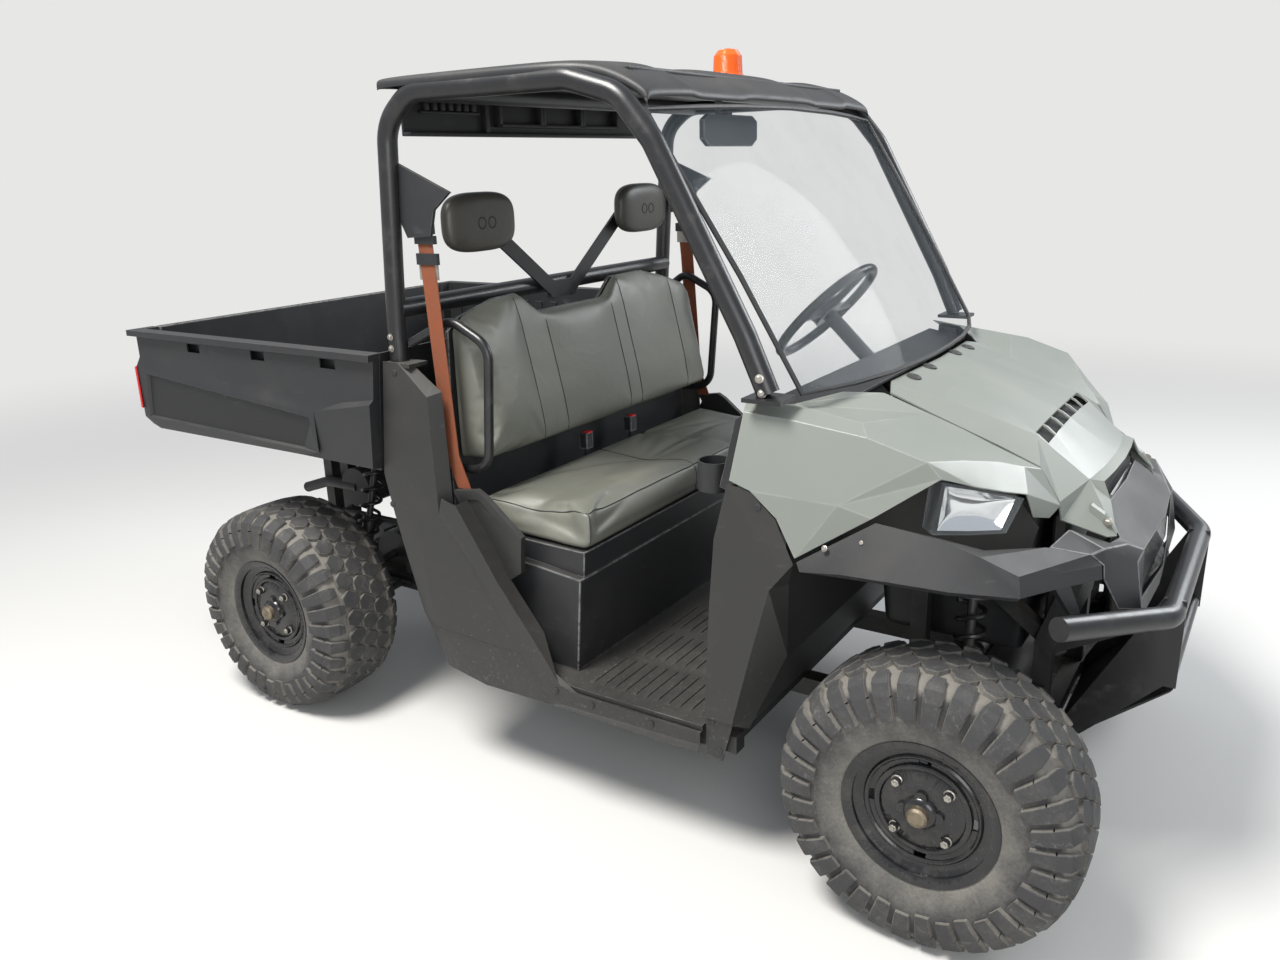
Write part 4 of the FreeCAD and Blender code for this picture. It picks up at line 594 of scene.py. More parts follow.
def furnish_rim(corner):
    """Nuts, dish beads and cap on one wheel."""
    wheel = f"wheel_{corner}"
    low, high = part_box(f"tyre_{corner}")
    out = Vector((0, -1 if "right" in corner else 1, 0))
    face = (low + high) / 2 + out * ((high.y - low.y) * FLANGE - DISC_DEPTH)
    dress(f"rim_{corner}", wheel, "rim_steel", RIM_PAINT, 0.0008, shortest=0.006)
    nuts = bmesh.new()
    for turn in range(4):
        angle = math.radians(45 + 90 * turn)
        place = face + Vector((math.cos(angle), 0, math.sin(angle))) * NUT_CIRCLE
        for outline, steps in ((WASHER, 18), (NUT, 6), (STUD_END, 12)):
            lathe(nuts, place, out, outline, steps)
    settle(f"wheel_nuts_{corner}", nuts, ZINC, wheel)
    dish = bmesh.new()
    for radius, lift in DISH_BEADS:
        lathe(dish, face, out, [(0, radius - 0.006), (lift, radius - 0.002),
                                (lift, radius + 0.001), (0, radius + 0.005)], 72)
    lathe(dish, face, out, HUB, 40)
    settle(f"rim_beads_{corner}", dish, RIM_PAINT, wheel)
    cap = bmesh.new()
    lathe(cap, face, out, DUST_CAP, 28)
    settle(f"hub_cap_{corner}", cap, BRASS, wheel)


for corner in CORNERS:
    furnish_rim(corner)


# Chassis, suspension and driveline: welded steel painted black, now grey with dust. The
# dampers carry coil springs.
ROAD_DUST = (0.15, 0.13, 0.10, 1)


def dusty_steel(name, colour, dust_colour, amount, roughness, metallic=0.0):
    steel = Finish(name)
    cloud = steel.noise(6, 7, 0.65)
    fine = steel.noise(90, 4, 0.7)
    up = steel.facing_up()
    lying = (up * 0.5 + (cloud - 0.45) * 2.0 + (fine - 0.5)).above(0.0, 1.0)
    base = steel.blend(lying * amount, colour, dust_colour)
    return steel.wear(Base_Color=base, Roughness=roughness + lying * 0.3, Metallic=metallic,
                      Normal=steel.bump(fine, 0.0006, 0.4))


FRAME_STEEL = dusty_steel("chassis_black", (0.013, 0.013, 0.014, 1), ROAD_DUST, 0.35, 0.5)
LINK_STEEL = dusty_steel("link_black", (0.016, 0.016, 0.017, 1), ROAD_DUST, 0.4, 0.45)
CAST_METAL = dusty_steel("cast_aluminium", (0.30, 0.30, 0.30, 1), (0.20, 0.17, 0.13, 1),
                         0.6, 0.5, 0.7)
for node_name, body, slot, material in (
        ("frame", "chassis", "black_steel", FRAME_STEEL),
        ("knuckle_right", "knuckle_right", "link_steel", LINK_STEEL),
        ("knuckle_left", "knuckle_left", "link_steel", LINK_STEEL),
        ("tie_rod_right", "tie_rod_right", "link_steel", LINK_STEEL),
        ("tie_rod_left", "tie_rod_left", "link_steel", LINK_STEEL),
        ("front_suspension", "chassis", "link_steel", LINK_STEEL),
        ("rear_suspension", "chassis", "link_steel", LINK_STEEL),
        ("steering_rack", "chassis", "link_steel", LINK_STEEL),
        ("front_skid", "chassis", "black_steel", FRAME_STEEL),
        ("engine", "chassis", "engine_metal", CAST_METAL),
        ("exhaust", "chassis", "black_steel", FRAME_STEEL)):
    dress(node_name, body, slot, material, 0.0)


def sweep(shape, path, radius, sides=10):
    """A round bar along a path, with closed ends."""
    path = [Vector(point) for point in path]
    out = (path[1] - path[0]).normalized().orthogonal().normalized()
    rings = []
    for index, point in enumerate(path):
        before = path[max(0, index - 1)]
        after = path[min(len(path) - 1, index + 1)]
        ahead = (after - before).normalized()
        out = (out - ahead * out.dot(ahead)).normalized()
        side = ahead.cross(out)
        rings.append([shape.verts.new(point + (out * cosine + side * sine) * radius)
                      for cosine, sine in turned(sides)])
    skin(shape, rings, closed=True)
    shape.faces.new(rings[0])
    shape.faces.new(rings[-1])


def islands(shape):
    """The separate shells of a shape, each as a list of its points."""
    left = set(shape.verts)
    shells = []
    while left:
        stack = [left.pop()]
        shell = []
        while stack:
            vert = stack.pop()
            shell.append(vert)
            for edge in vert.link_edges:
                other = edge.other_vert(vert)
                if other in left:
                    left.remove(other)
                    stack.append(other)
        shells.append(shell)
    return shells


def loose_solids(node_name):
    """Corner points of each separate solid of a CAD node."""
    shape = bmesh.new()
    shape.from_mesh(cad[node_name].data)
    bmesh.ops.remove_doubles(shape, verts=shape.verts, dist=0.00004)
    solids = [[vert.co.copy() for vert in shell] for shell in islands(shape)]
    shape.free()
    return solids


def powder_coat():
    coat = Finish("satin_powder_coat")
    fine = coat.noise(700, 2, 0.6)
    rub = coat.noise(16, 7, 0.7).above(0.5, 0.78)
    base = coat.blend(rub * 0.22, (0.012, 0.012, 0.013, 1), (0.11, 0.105, 0.095, 1))
    return coat.wear(Base_Color=base, Roughness=0.34 + rub * 0.2,
                     Normal=coat.bump(fine, 0.0003, 0.3))


POWDER = powder_coat()
COIL_TURNS = 7.5
COIL_STEPS = 150
SEATS = (0.08, 0.045)  # of the spring, from the damper's foot and from its head


def coil_over():
    """Dampers with their coil springs, from the CAD dampers' own ends."""
    bodies = bmesh.new()
    coils = bmesh.new()
    for solid in loose_solids("shocks"):
        upwards = sorted(solid, key=lambda point: point.z)
        foot = sum(upwards[:12], Vector()) / 12
        head = sum(upwards[-12:], Vector()) / 12
        along = head - foot
        span = along.length
        along.normalize()
        wide = max(((point - foot) - along * (point - foot).dot(along)).length
                   for point in solid)
        lathe(bodies, foot, along, [(0, 0), (0, 0.016), (0.05, 0.016), (0.05, 0.021),
                                    (span * 0.55, 0.021), (span * 0.55, 0.011),
                                    (span, 0.011), (span, 0)], 24)
        for level in (SEATS[0], span - SEATS[1]):
            lathe(bodies, foot, along, [(level, 0.012), (level, wide * 0.98),
                                        (level + 0.008, wide * 0.98),
                                        (level + 0.008, 0.012)], 28)
        out = along.orthogonal().normalized()
        side = along.cross(out)
        low, high = SEATS[0] + 0.01, span - SEATS[1] - 0.005
        path = []
        for step in range(COIL_STEPS + 1):
            part = step / COIL_STEPS
            angle = 2 * math.pi * COIL_TURNS * part
            path.append(foot + along * (low + (high - low) * part)
                        + (out * math.cos(angle) + side * math.sin(angle)) * (wide - 0.0065))
        sweep(coils, path, 0.0058, 8)
    piece = settle("damper_bodies", bodies, LINK_STEEL, "chassis")
    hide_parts("shocks")
    settle("coil_springs", coils, POWDER, "chassis")


coil_over()


# Black body mouldings: tough grained plastic, scuffed, dusty, and splashed grey with dry
# mud low down and inside the wheel arches.
SCUFF_GREY = (0.085, 0.085, 0.083, 1)
EDGE_WEAR_AND_HIGHLIGHT = (0.15, 0.15, 0.147, 1)
FINE_DUST = (0.19, 0.172, 0.145, 1)
DRY_MUD = (0.19, 0.175, 0.15, 1)


def scuffed_plastic(name, colour, dust_amount, grain=0.5, mud=0.0):
    plastic = Finish(name)
    cloud = plastic.noise(3.2, 7, 0.68, distortion=0.4)
    fine = plastic.noise(420, 3, 0.7)
    streak = plastic.noise(30, 6, 0.7, plastic.place((0.25, 1, 1.4)), 0.6)
    up = plastic.facing_up()
    height = plastic.add("SeparateXYZ", {}, {0: plastic.place()}, out=2)
    lying = (up * 0.45 + (cloud - 0.5) * 1.8 + (fine - 0.5) * 0.4).above(-0.15, 1.2)
    splash = plastic.noise(95, 5, 0.75)
    low = (splash + (0.60 - height) * 0.26).above(0.64, 0.74)
    scuffs = streak.above(0.60, 0.74)
    edge = plastic.layer("edge")
    base = plastic.blend(scuffs * 0.35, colour, SCUFF_GREY)
    # Lighter in patches on rounded edges: partly rubbed wear, partly a painted highlight.
    base = plastic.blend(edge * streak.above(0.30, 0.60), base, EDGE_WEAR_AND_HIGHLIGHT)
    base = plastic.blend(lying * dust_amount, base, FINE_DUST)
    base = plastic.blend(low * mud, base, DRY_MUD)
    return plastic.wear(Base_Color=base, Roughness=0.46 + lying * 0.3,
                        Normal=plastic.bump(fine, 0.0005, grain))


BLACK_PLASTIC = scuffed_plastic("black_body_plastic", (0.014, 0.0145, 0.016, 1), 0.16)
MUDDY_PLASTIC = scuffed_plastic("black_lower_plastic", (0.017, 0.0168, 0.0165, 1), 0.2,
                                mud=0.4)
PANEL_GLOSS = scuffed_plastic("recessed_panel_plastic", (0.006, 0.0062, 0.007, 1), 0.05,
                              grain=0.2)
for node_name, body, radius, material in (
        ("side_panels", "chassis", 0.0022, MUDDY_PLASTIC),
        ("front_panels", "chassis", 0.0022, MUDDY_PLASTIC),
        ("flares", "chassis", 0.003, BLACK_PLASTIC),
        ("fascia", "chassis", 0.0035, BLACK_PLASTIC),
        ("floor", "chassis", 0.003, MUDDY_PLASTIC),
        ("seat_box", "chassis", 0.004, BLACK_PLASTIC),
        ("dash", "chassis", 0.006, BLACK_PLASTIC),
        ("seat_pan", "chassis", 0.003, BLACK_PLASTIC),
        ("seat_shell", "chassis", 0.003, BLACK_PLASTIC),
        ("tailgate", "tailgate", 0.004, BLACK_PLASTIC),
        ("mirror", "chassis", 0.006, BLACK_PLASTIC),
        ("cup_holder", "chassis", 0.001, BLACK_PLASTIC),
        ("belt_retractors", "chassis", 0.003, BLACK_PLASTIC)):
    dress(node_name, body, "black_plastic", material, radius)


# Cargo bed: the same plastic, with a smoother recessed panel in each side. The solid has
# the left side's folded sheet only, so its mirror image makes the right one.
SHEET_FROM = 0.6
RECESS = ((-1.44, 0.729, 0.90), (-0.64, 0.7325, 1.04))


def in_recess(flat):
    low, high = RECESS
    place = (flat.center.x, abs(flat.center.y), flat.center.z)
    return abs(flat.normal.y) > 0.98 and all(
        low[axis] < place[axis] < high[axis] for axis in range(3))


def dress_bed():
    shape = bmesh.new()
    shape.from_mesh(rounded_copy("bed", 0.0025))
    for solid in islands(shape):
        if min(vert.co.y for vert in solid) < SHEET_FROM:
            continue
        sheet = {flat for vert in solid for flat in vert.link_faces}
        twins = {vert: shape.verts.new((vert.co.x, -vert.co.y, vert.co.z))
                 for vert in solid}
        for flat in sheet:
            twin = shape.faces.new([twins[vert] for vert in reversed(flat.verts)])
            twin.smooth = True
        for edge in {edge for flat in sheet for edge in flat.edges}:
            twin = shape.edges.get([twins[vert] for vert in edge.verts])
            twin.smooth = edge.smooth
    bed = paint(add_piece("bed_dressed", as_mesh(shape, "bed_form")), BLACK_PLASTIC)
    bed.data.materials.append(PANEL_GLOSS)
    for flat in bed.data.polygons:
        flat.material_index = int(in_recess(flat))
    even_out(bed)
    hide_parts("bed")
    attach(bed, "bed")


dress_bed()


# Roof: one vacuum-formed sheet with a turned-down edge, two long channels and a front
# brim, lined underneath; the liner's rear edge hangs down with three open pockets.
ROOF_PROFILE = [  # share of the half width, share of the rise, drop of the turned edge
    (1.0, 0, -0.022), (1.0, 0, -0.004), (0.982, 0.18, 0), (0.93, 0.48, 0),
    (0.74, 0.86, 0), (0.70, 0.9, 0), (0.67, 0.48, 0), (0.60, 0.45, 0), (0.36, 0.5, 0),
    (0.325, 0.55, 0), (0.29, 0.95, 0), (0.15, 1, 0), (0, 1, 0)]
ROOF_ROWS = [  # mm: x at the side and middle, half width, side height, rise
    (-372, -386, 668, 1822, 8), (-374, -389, 668, 1841, 9), (-362, -380, 676, 1846, 10),
    (-250, -250, 682, 1847, 14), (60, 60, 682, 1847, 15), (180, 180, 680, 1847, 14),
    (240, 241, 664, 1845, 13), (290, 292, 645, 1838, 12), (345, 348, 637, 1816, 12),
    (388, 396, 634, 1792, 12), (406, 415, 633, 1776, 12), (404, 413, 633, 1762, 12)]
REAR_ROWS = 3  # their corners are drawn forward
CORNER_PULL = 26
LINER_WALLS = [  # low and high corner of each wall, mm: rear edge, lip, tray, divider
    ((-362, -588, 1716), (-354, 588, 1842)), ((-362, -588, 1716), (-330, 588, 1726)),
    ((-354, -588, 1828), (330, 588, 1836)), ((-354, -292, 1726), (-336, -276, 1830))]
POCKETS = ((-232, -52), (-36, 146), (162, 344))
LOUVRES = 7


def form_roof():
    shape = bmesh.new()
    rows = []
    for index, (side_x, middle_x, half, side_z, rise) in enumerate(ROOF_ROWS):
        row = []
        for hand, outline in ((-1, ROOF_PROFILE), (1, ROOF_PROFILE[-2::-1])):
            for part, lift, drop in outline:
                x = side_x + (middle_x - side_x) * (1 - part ** 2)
                if part > 0.9 and index < REAR_ROWS:
                    x += CORNER_PULL * (part - 0.9) / 0.1 * (1 if index < 2 else 0.4)
                row.append(shape.verts.new((
                    x / 1000, hand * half * part / 1000,
                    (side_z + rise * lift) / 1000 + (drop if index else 0))))
        rows.append(row)
    skin(shape, rows)
    bmesh.ops.recalc_face_normals(shape, faces=shape.faces)
    for flat in shape.faces:
        flat.smooth = True
    if sum(flat.normal.z for flat in shape.faces) < 0:
        bmesh.ops.reverse_faces(shape, faces=shape.faces)
    sheet = add_piece("roof_sheet_start", as_mesh(shape, "roof_sheet"))
    with_settings(sheet.modifiers.new("gauge", "SOLIDIFY"), thickness=0.005, offset=-1)
    with_settings(sheet.modifiers.new("finer", "SUBSURF"), levels=2, render_levels=2)
    roof = paint(add_piece("roof_sheet", plain_mesh(sheet, "roof_sheet")), BLACK_PLASTIC)
    remove(sheet)
    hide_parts("roof")
    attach(roof, "chassis")


def block(shape, centre, size, foot=1, top=1):
    """An upright block, drawn in at its foot or top; gives its corner points."""
    verts = bmesh.ops.create_cube(shape, size=1)["verts"]
    for vert in verts:
        taper = top if vert.co.z > 0 else foot
        vert.co = Vector((centre[0] + vert.co.x * size[0] * taper,
                          centre[1] + vert.co.y * size[1] * taper,
                          centre[2] + vert.co.z * size[2]))
    return verts


def line_roof():
    """Moulded headliner: a flat tray, a hanging rear edge, framed pockets, louvres."""
    walls = list(LINER_WALLS)
    for low, high in POCKETS:
        walls += [((-354, low - 8, 1742), (-330, low + 4, 1812)),
                  ((-354, high - 4, 1742), (-330, high + 8, 1812))]
    for foot in (1742, 1806):
        walls.append(((-354, -240, foot), (-330, 352, foot + 10)))
    for index in range(LOUVRES):
        y = -520 + 30 * index
        walls.append(((-354, y, 1780), (-340, y + 16, 1806)))
    for foot in (1772, 1808):
        walls.append(((-354, -532, foot), (-342, -306, foot + 7)))
    shape = bmesh.new()
    for low, high in walls:
        low, high = Vector(low) / 1000, Vector(high) / 1000
        block(shape, (low + high) / 2, high - low)
    bmesh.ops.bevel(shape, geom=shape.edges[:], offset=0.003, segments=2, profile=0.6,
                    affect="EDGES")
    settle("roof_liner", shape, BLACK_PLASTIC, "chassis")


form_roof()
line_roof()


# Hood and fenders: sage-grey plastic, moulded in colour, satin with fine scratches.
def sage_plastic():
    sage = Finish("sage_satin_plastic")
    cloud = sage.noise(2.6, 7, 0.7, distortion=0.3)
    fine = sage.noise(260, 3, 0.7)
    nicks = sage.noise(70, 8, 0.8, sage.place((1, 0.3, 1)), 1.4).above(0.66, 0.71)
    up = sage.facing_up()
    lying = (up * 0.4 + (cloud - 0.5) * 1.6).above(0.0, 1.1)
    base = sage.blend(lying * 0.22, (0.175, 0.190, 0.170, 1), (0.30, 0.295, 0.265, 1))
    # Lighter in patches on rounded edges: partly rubbed wear, partly a painted highlight; the
    # nicks are scratches.
    edge = sage.layer("edge")
    base = sage.blend(nicks * 0.3 + edge * cloud.above(0.35, 0.65) * 0.3, base,
                      (0.34, 0.34, 0.32, 1))
    return sage.wear(Base_Color=base, Roughness=0.34 + lying * 0.22 + nicks * 0.1,
                     Normal=sage.bump(fine, 0.0003, 0.18))


SAGE = sage_plastic()
dress("fenders", "chassis", "painted_panel", SAGE, 0.007, steps=3, fold=9)
dress("hood", "hood", "painted_panel", SAGE, 0.007, steps=3, fold=7)

# Roll cage, bumper and grab loops: bent round tube, powder coated satin black.
for node_name in ("roll_cage", "bumper", "hip_bars", "headrest_arms"):
    dress(node_name, "chassis", "black_steel", POWDER, 0)


# Fasteners: zinc screws with flanged heads and black push rivets, set by one node tree on
# points that carry the direction their heads face.
def head_tree():
    """Node tree: a copy of a head on every point, turned to its facing direction."""
    tree, source, copies = copies_tree("heads_on_points", Points="Geometry", Head="Object",
                                       Size="Float", Material="Material")
    facing = with_settings(tree.nodes.new("GeometryNodeInputNamedAttribute"),
                           data_type="FLOAT_VECTOR")
    facing.inputs["Name"].default_value = "facing"
    turn = with_settings(tree.nodes.new("FunctionNodeAlignRotationToVector"), axis="Z")
    look = tree.nodes.new("GeometryNodeObjectInfo")
    join(tree, (facing.outputs[0], turn.inputs["Vector"]),
         (source.outputs["Points"], copies.inputs["Points"]),
         (source.outputs["Head"], look.inputs["Object"]),
         (look.outputs["Geometry"], copies.inputs["Instance"]),
         (turn.outputs[0], copies.inputs["Rotation"]),
         (source.outputs["Size"], copies.inputs["Scale"]))
    return tree


def head_shape(name, outline):
    shape = bmesh.new()
    lathe(shape, (0, 0, 0), (0, 0, 1), outline, 12)
    bmesh.ops.remove_doubles(shape, verts=shape.verts, dist=0.00001)
    bmesh.ops.recalc_face_normals(shape, faces=shape.faces)
    return add_piece(name, as_mesh(shape, name))


HEADS = head_tree()
SCREW = head_shape("flanged_screw", [(0, 0), (0, 0.0095), (0.0012, 0.0095), (0.002, 0.0065),
                                     (0.0055, 0.006), (0.0065, 0.0045), (0.0065, 0)])
RIVET = head_shape("push_rivet", [(0, 0), (0, 0.009), (0.0012, 0.0085), (0.0022, 0.0055),
                                  (0.0024, 0.0035), (0.0018, 0)])


def fasten(name, head, size, body, *places):
    """Heads at places given as (point in mm, facing direction), mirrored to the left too."""
    material, slot = ((ZINC, "link_steel") if head is SCREW
                      else (BLACK_PLASTIC, "black_plastic"))
    mesh = bpy.data.meshes.new(name + "_points")
    points, ways = [], []
    for point, way in places:
        for side in (1, -1):
            points.append((point[0] / 1000, point[1] * side / 1000, point[2] / 1000))
            ways.append(Vector((way[0], way[1] * side, way[2])).normalized())
    mesh.from_pydata(points, [], [])
    facing = mesh.attributes.new("facing", "FLOAT_VECTOR", "POINT")
    for index, way in enumerate(ways):
        facing.data[index].vector = way
    dots = add_piece(name + "_points", mesh)
    setter = with_settings(dots.modifiers.new("heads", "NODES"), node_group=HEADS)
    set_inputs(setter, Head=head, Size=size, Material=material)
    piece = paint(add_piece(name, plain_mesh(dots, name)), material)
    remove(dots)
    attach(piece, body)


OUT_RIGHT = (0, -1, 0)
fasten("pillar_bolts", SCREW, 1.0, "chassis",
       ((694, -684.5, 1203), (0.27, -0.96, 0.12)), ((700, -684, 1172), (0.27, -0.96, 0.12)))
fasten("flare_screws", SCREW, 0.75, "chassis",
       ((858, -710, 868), (-0.21, -0.88, 0.43)), ((935, -703, 892), (-0.21, -0.88, 0.43)))
fasten("hood_screws", SCREW, 1.1, "hood", ((1327, -284.5, 872), OUT_RIGHT))
fasten("hood_knobs", RIVET, 2.0, "hood",
       ((868, -222, 1137.5), (0.25, -0.05, 0.97)), ((868, -105, 1141.5), (0.25, 0, 0.97)))
fasten("panel_rivets", RIVET, 1.0, "chassis",
       ((582, -693.5, 376), OUT_RIGHT), ((600, -690, 300), OUT_RIGHT),
       ((130, -708.5, 340), OUT_RIGHT), ((243, -708.5, 330), OUT_RIGHT),
       ((420, -708.5, 330), OUT_RIGHT), ((-354, -700.5, 1130), OUT_RIGHT),
       ((-410, -700.5, 760), OUT_RIGHT), ((700, -700.5, 930), OUT_RIGHT))
fasten("roof_bolts", SCREW, 1.0, "chassis",
       ((-371, -685.2, 1190), OUT_RIGHT), ((-371, -685.2, 1220), OUT_RIGHT))
remove(SCREW)
remove(RIVET)


# Seats: foam under grey-olive vinyl, stuffed by a short cloth run, then seamed and welted.
STUFFING = {"quality": 4, "mass": 0.2, "tension_stiffness": 12, "compression_stiffness": 12,
            "shear_stiffness": 6, "bending_stiffness": 4, "use_pressure": True,
            "uniform_pressure_force": 4, "vertex_group_mass": "held"}
STUFFING_FRAMES = 20
NET = 0.007  # side of the cover's mesh
SPARE = 0.002  # how far the cover may stand out of the CAD box
CUSHION_GROOVES = (-0.055, 0.50)
BACK_GROOVES = (-0.345, -0.235, 0.100, 0.165, 0.455)
GROOVE_HALF = 0.007
GROOVE_GRIP = 0.96


def seat_vinyl(name, colour, paler):
    vinyl = Finish(name)
    cells = vinyl.add("TexVoronoi", {"feature": "DISTANCE_TO_EDGE"},
                      {"Vector": vinyl.place(), "Scale": 420})
    cloud = vinyl.noise(4, 6, 0.65)
    crease = vinyl.noise(9, 5, 0.6, distortion=1.5)
    dust = (cloud - 0.48).above(0.0, 0.3)
    base = vinyl.blend(dust * 0.3, colour, paler)
    return vinyl.wear(Base_Color=base, Roughness=0.42 + dust * 0.2,
                      Normal=vinyl.bump(cells, 0.0003, 0.4,
                                        vinyl.bump(crease, 0.006, 0.25)))


VINYL = seat_vinyl("grey_olive_vinyl", (0.120, 0.122, 0.102, 1), (0.24, 0.225, 0.18, 1))
DARK_VINYL = seat_vinyl("dark_olive_vinyl", (0.046, 0.044, 0.037, 1), (0.15, 0.14, 0.11, 1))
# Near-black matte: seam thread, and painted shade in the seat grooves, the headrest holes and
# under the hood slots.
THREAD_AND_SHADE_BLACK = Finish("seam_thread_and_painted_shade").wear(Base_Color=(0.012, 0.012, 0.011, 1), Roughness=0.7)


def relax(shape, times):
    for _ in range(times):
        bmesh.ops.smooth_vert(shape, verts=shape.verts, factor=0.5, use_axis_x=True,
                              use_axis_y=True, use_axis_z=True)


def puff_up(foam, firm, cap):
    """Blow the cover up against its held points, by no more than the cap."""
    pins = foam.vertex_groups.new(name="held")
    for index, weight in firm.items():
        if weight > 0:
            pins.add([index], weight, "REPLACE")
    puff = foam.modifiers.new("stuffing", "CLOTH")
    with_settings(puff.settings, **STUFFING)
    puff.settings.effector_weights.gravity = 0
    puff.collision_settings.use_collision = False
    puff.point_cache.frame_end = STUFFING_FRAMES
    for step in range(1, STUFFING_FRAMES + 1):
        scene.frame_set(step)
    blown = plain_mesh(foam, "blown")
    scene.frame_set(1)
    foam.modifiers.remove(puff)
    for old, new in zip(foam.data.vertices, blown.vertices):
        push = new.co - old.co
        if push.length > cap:
            push *= cap / push.length
        old.co += push
    bpy.data.meshes.remove(blown)


def stuff(node_name, slack, cap, soften, held):
    """A CAD cushion as stuffed vinyl; held gives how firmly a point stays put, 0 to 1."""
    low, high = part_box(node_name)
    start = add_piece(node_name + "_start", rounded_copy(node_name, 0.030, steps=4))
    with_settings(start.modifiers.new("net", "REMESH"), mode="VOXEL", voxel_size=NET)
    foam = add_piece(node_name + "_foam", plain_mesh(start, "foam"))
    remove(start)
    shape = bmesh.new()
    shape.from_mesh(foam.data)
    relax(shape, soften)
    shape.normal_update()
    firm = {vert.index: held(vert.co, vert.normal) for vert in shape.verts}
    for vert in shape.verts:
        vert.co -= vert.normal * slack * (1 if firm[vert.index] < 1 else 0.15)
    shape.to_mesh(foam.data)
    shape.free()
    puff_up(foam, firm, cap)
    shape = bmesh.new()
    shape.from_mesh(foam.data)
    for vert in shape.verts:
        for axis in range(3):
            vert.co[axis] = min(max(vert.co[axis], low[axis] - SPARE), high[axis] + SPARE)
    relax(shape, 3)
    for flat in shape.faces:
        flat.smooth = True
    remove(foam)
    pad = paint(add_piece(node_name + "_stuffed", as_mesh(shape, node_name + "_stuffed")),
                VINYL)
    with_settings(pad.modifiers.new("finer", "SUBSURF"), levels=1, render_levels=1)
    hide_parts(node_name)
    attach(pad, "chassis")
    return pad


def seam(name, pad, radius, *lines):
    """Near-black welts laid on a cushion along straight or bent guides in mm; in grooves they
    are painted shade.
    """
    tree = BVHTree.FromPolygons([vert.co for vert in pad.data.vertices],
                                [list(flat.vertices) for flat in pad.data.polygons])
    shape = bmesh.new()
    for line in lines:
        corners = [Vector(corner) / 1000 for corner in line]
        path = []
        for near, far in zip(corners, corners[1:]):
            steps = max(2, int((far - near).length / 0.012))
            path += [near.lerp(far, step / steps) for step in range(steps)]
        laid = []
        for point in path + corners[-1:]:
            place, out, _, _ = tree.find_nearest(point)
            laid.append(place + out * radius * 0.15)
        for _ in range(2):
            laid[1:-1] = [(before + here * 2 + after) / 4
                          for before, here, after in zip(laid, laid[1:], laid[2:])]
        sweep(shape, laid, radius, 6)
    settle(name, shape, THREAD_AND_SHADE_BLACK, "chassis")


def cushion_hold(point, normal):
    if point.z < 0.715 or point.x < -0.165:
        return 1
    groove = min(abs(point.y - line) for line in CUSHION_GROOVES)
    return GROOVE_GRIP if normal.z > 0.6 and groove < GROOVE_HALF else 0


def back_hold(point, normal):
    if normal.x < -0.3 or point.x < -0.248:
        return 1
    groove = min(abs(point.y - line) for line in BACK_GROOVES)
    return GROOVE_GRIP if normal.x > 0.5 and groove < GROOVE_HALF else 0


cushions = stuff("seat_cushions", 0.007, 0.016, 26, cushion_hold)
back = stuff("seat_back", 0.008, 0.018, 16, back_hold)
# Cushion welts round the borders are piping; the one at y = -55 mm and those on the back lie
# in grooves as painted shade.
seam("cushion_welts", cushions, 0.0017,
     [(-170, -590, 792), (150, -590, 800), (176, -575, 800), (184, -60, 800)],
     [(184, -50, 800), (184, 178, 800)], [(176, -575, 800), (184, -590, 700)],
     [(-170, -55, 800), (184, -55, 800), (184, -55, 705)],
     [(184, 205, 800), (184, 580, 800), (-170, 590, 800)])
seam("back_welts", back, 0.0015, *[
    [(-226, y, top), (-150, y, 1000), (-134, y, 890)]
    for y, top in ((-345, 1300), (-235, 1243), (100, 1243), (165, 1300), (455, 1280))])


# Head restraints: firm oval pads; two near-black cups in each front paint the shade in two
# holes.
REST_SIDE = 0.402
REST_HEIGHT = 1.496
REST_HALF = (0.138, 0.078)  # across and up
REST_BACK, REST_FRONT = -0.320, -0.260
# Outline of each cup: near black, a painted shade for a hole's depth.
SOCKET = [(0.0062, 0), (0.0062, 0.0125), (0.0074, 0.0135), (0.0076, 0.0155),
          (0.0060, 0.0170), (0.0, 0.0170)]


def squared(value, power):
    """A sine or cosine pressed towards a rounded square."""
    return math.copysign(abs(value) ** power, value)


def head_rest(shape, centre):
    """One oval restraint pad."""
    middle = (REST_BACK + REST_FRONT) / 2
    deep = (REST_FRONT - REST_BACK) / 2
    wide, tall = REST_HALF
    across, steps = 26, 56
    rings = []
    for row in range(across + 1):
        bend = math.pi * row / across
        reach = max(0.0, math.sin(bend)) ** 0.42
        x = middle + deep * squared(math.cos(bend), 0.85)
        ring = []
        for cosine, sine in turned(steps):
            ring.append(shape.verts.new((
                x, centre + squared(cosine, 0.62) * wide * reach,
                REST_HEIGHT + squared(sine, 0.62) * tall * reach)))
        rings.append(ring)
    skin(shape, rings, closed=True)


def head_rests():
    pads = bmesh.new()
    hole_shade_cups = bmesh.new()
    for centre in (-REST_SIDE, REST_SIDE):
        head_rest(pads, centre)
        for hole in (-0.020, 0.020):
            lathe(hole_shade_cups, (-0.2665, centre + hole, 1.494), (1, 0, 0), SOCKET, 24)
    piece = settle("headrests_padded", pads, DARK_VINYL, "chassis")
    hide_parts("headrests")
    settle("headrest_sockets", hole_shade_cups, THREAD_AND_SHADE_BLACK, "chassis")


head_rests()


# Belts: orange webbing from the retractors on the rear pillars to the buckle line, with
# black cases, plated tongues and red release buttons.
BUTTON_SIDES = (-0.095, 0.150)
BELT_SIDE = 0.6385


def webbing():
    belt = Finish("orange_webbing")
    rib = belt.bands("Z", 260)
    cloud = belt.noise(12, 5, 0.7)
    base = belt.blend(cloud.above(0.35, 0.75) * 0.5, (0.19, 0.046, 0.014, 1),
                      (0.11, 0.05, 0.027, 1))
    return belt.wear(Base_Color=base, Roughness=0.78, Normal=belt.bump(rib, 0.0006, 0.6))


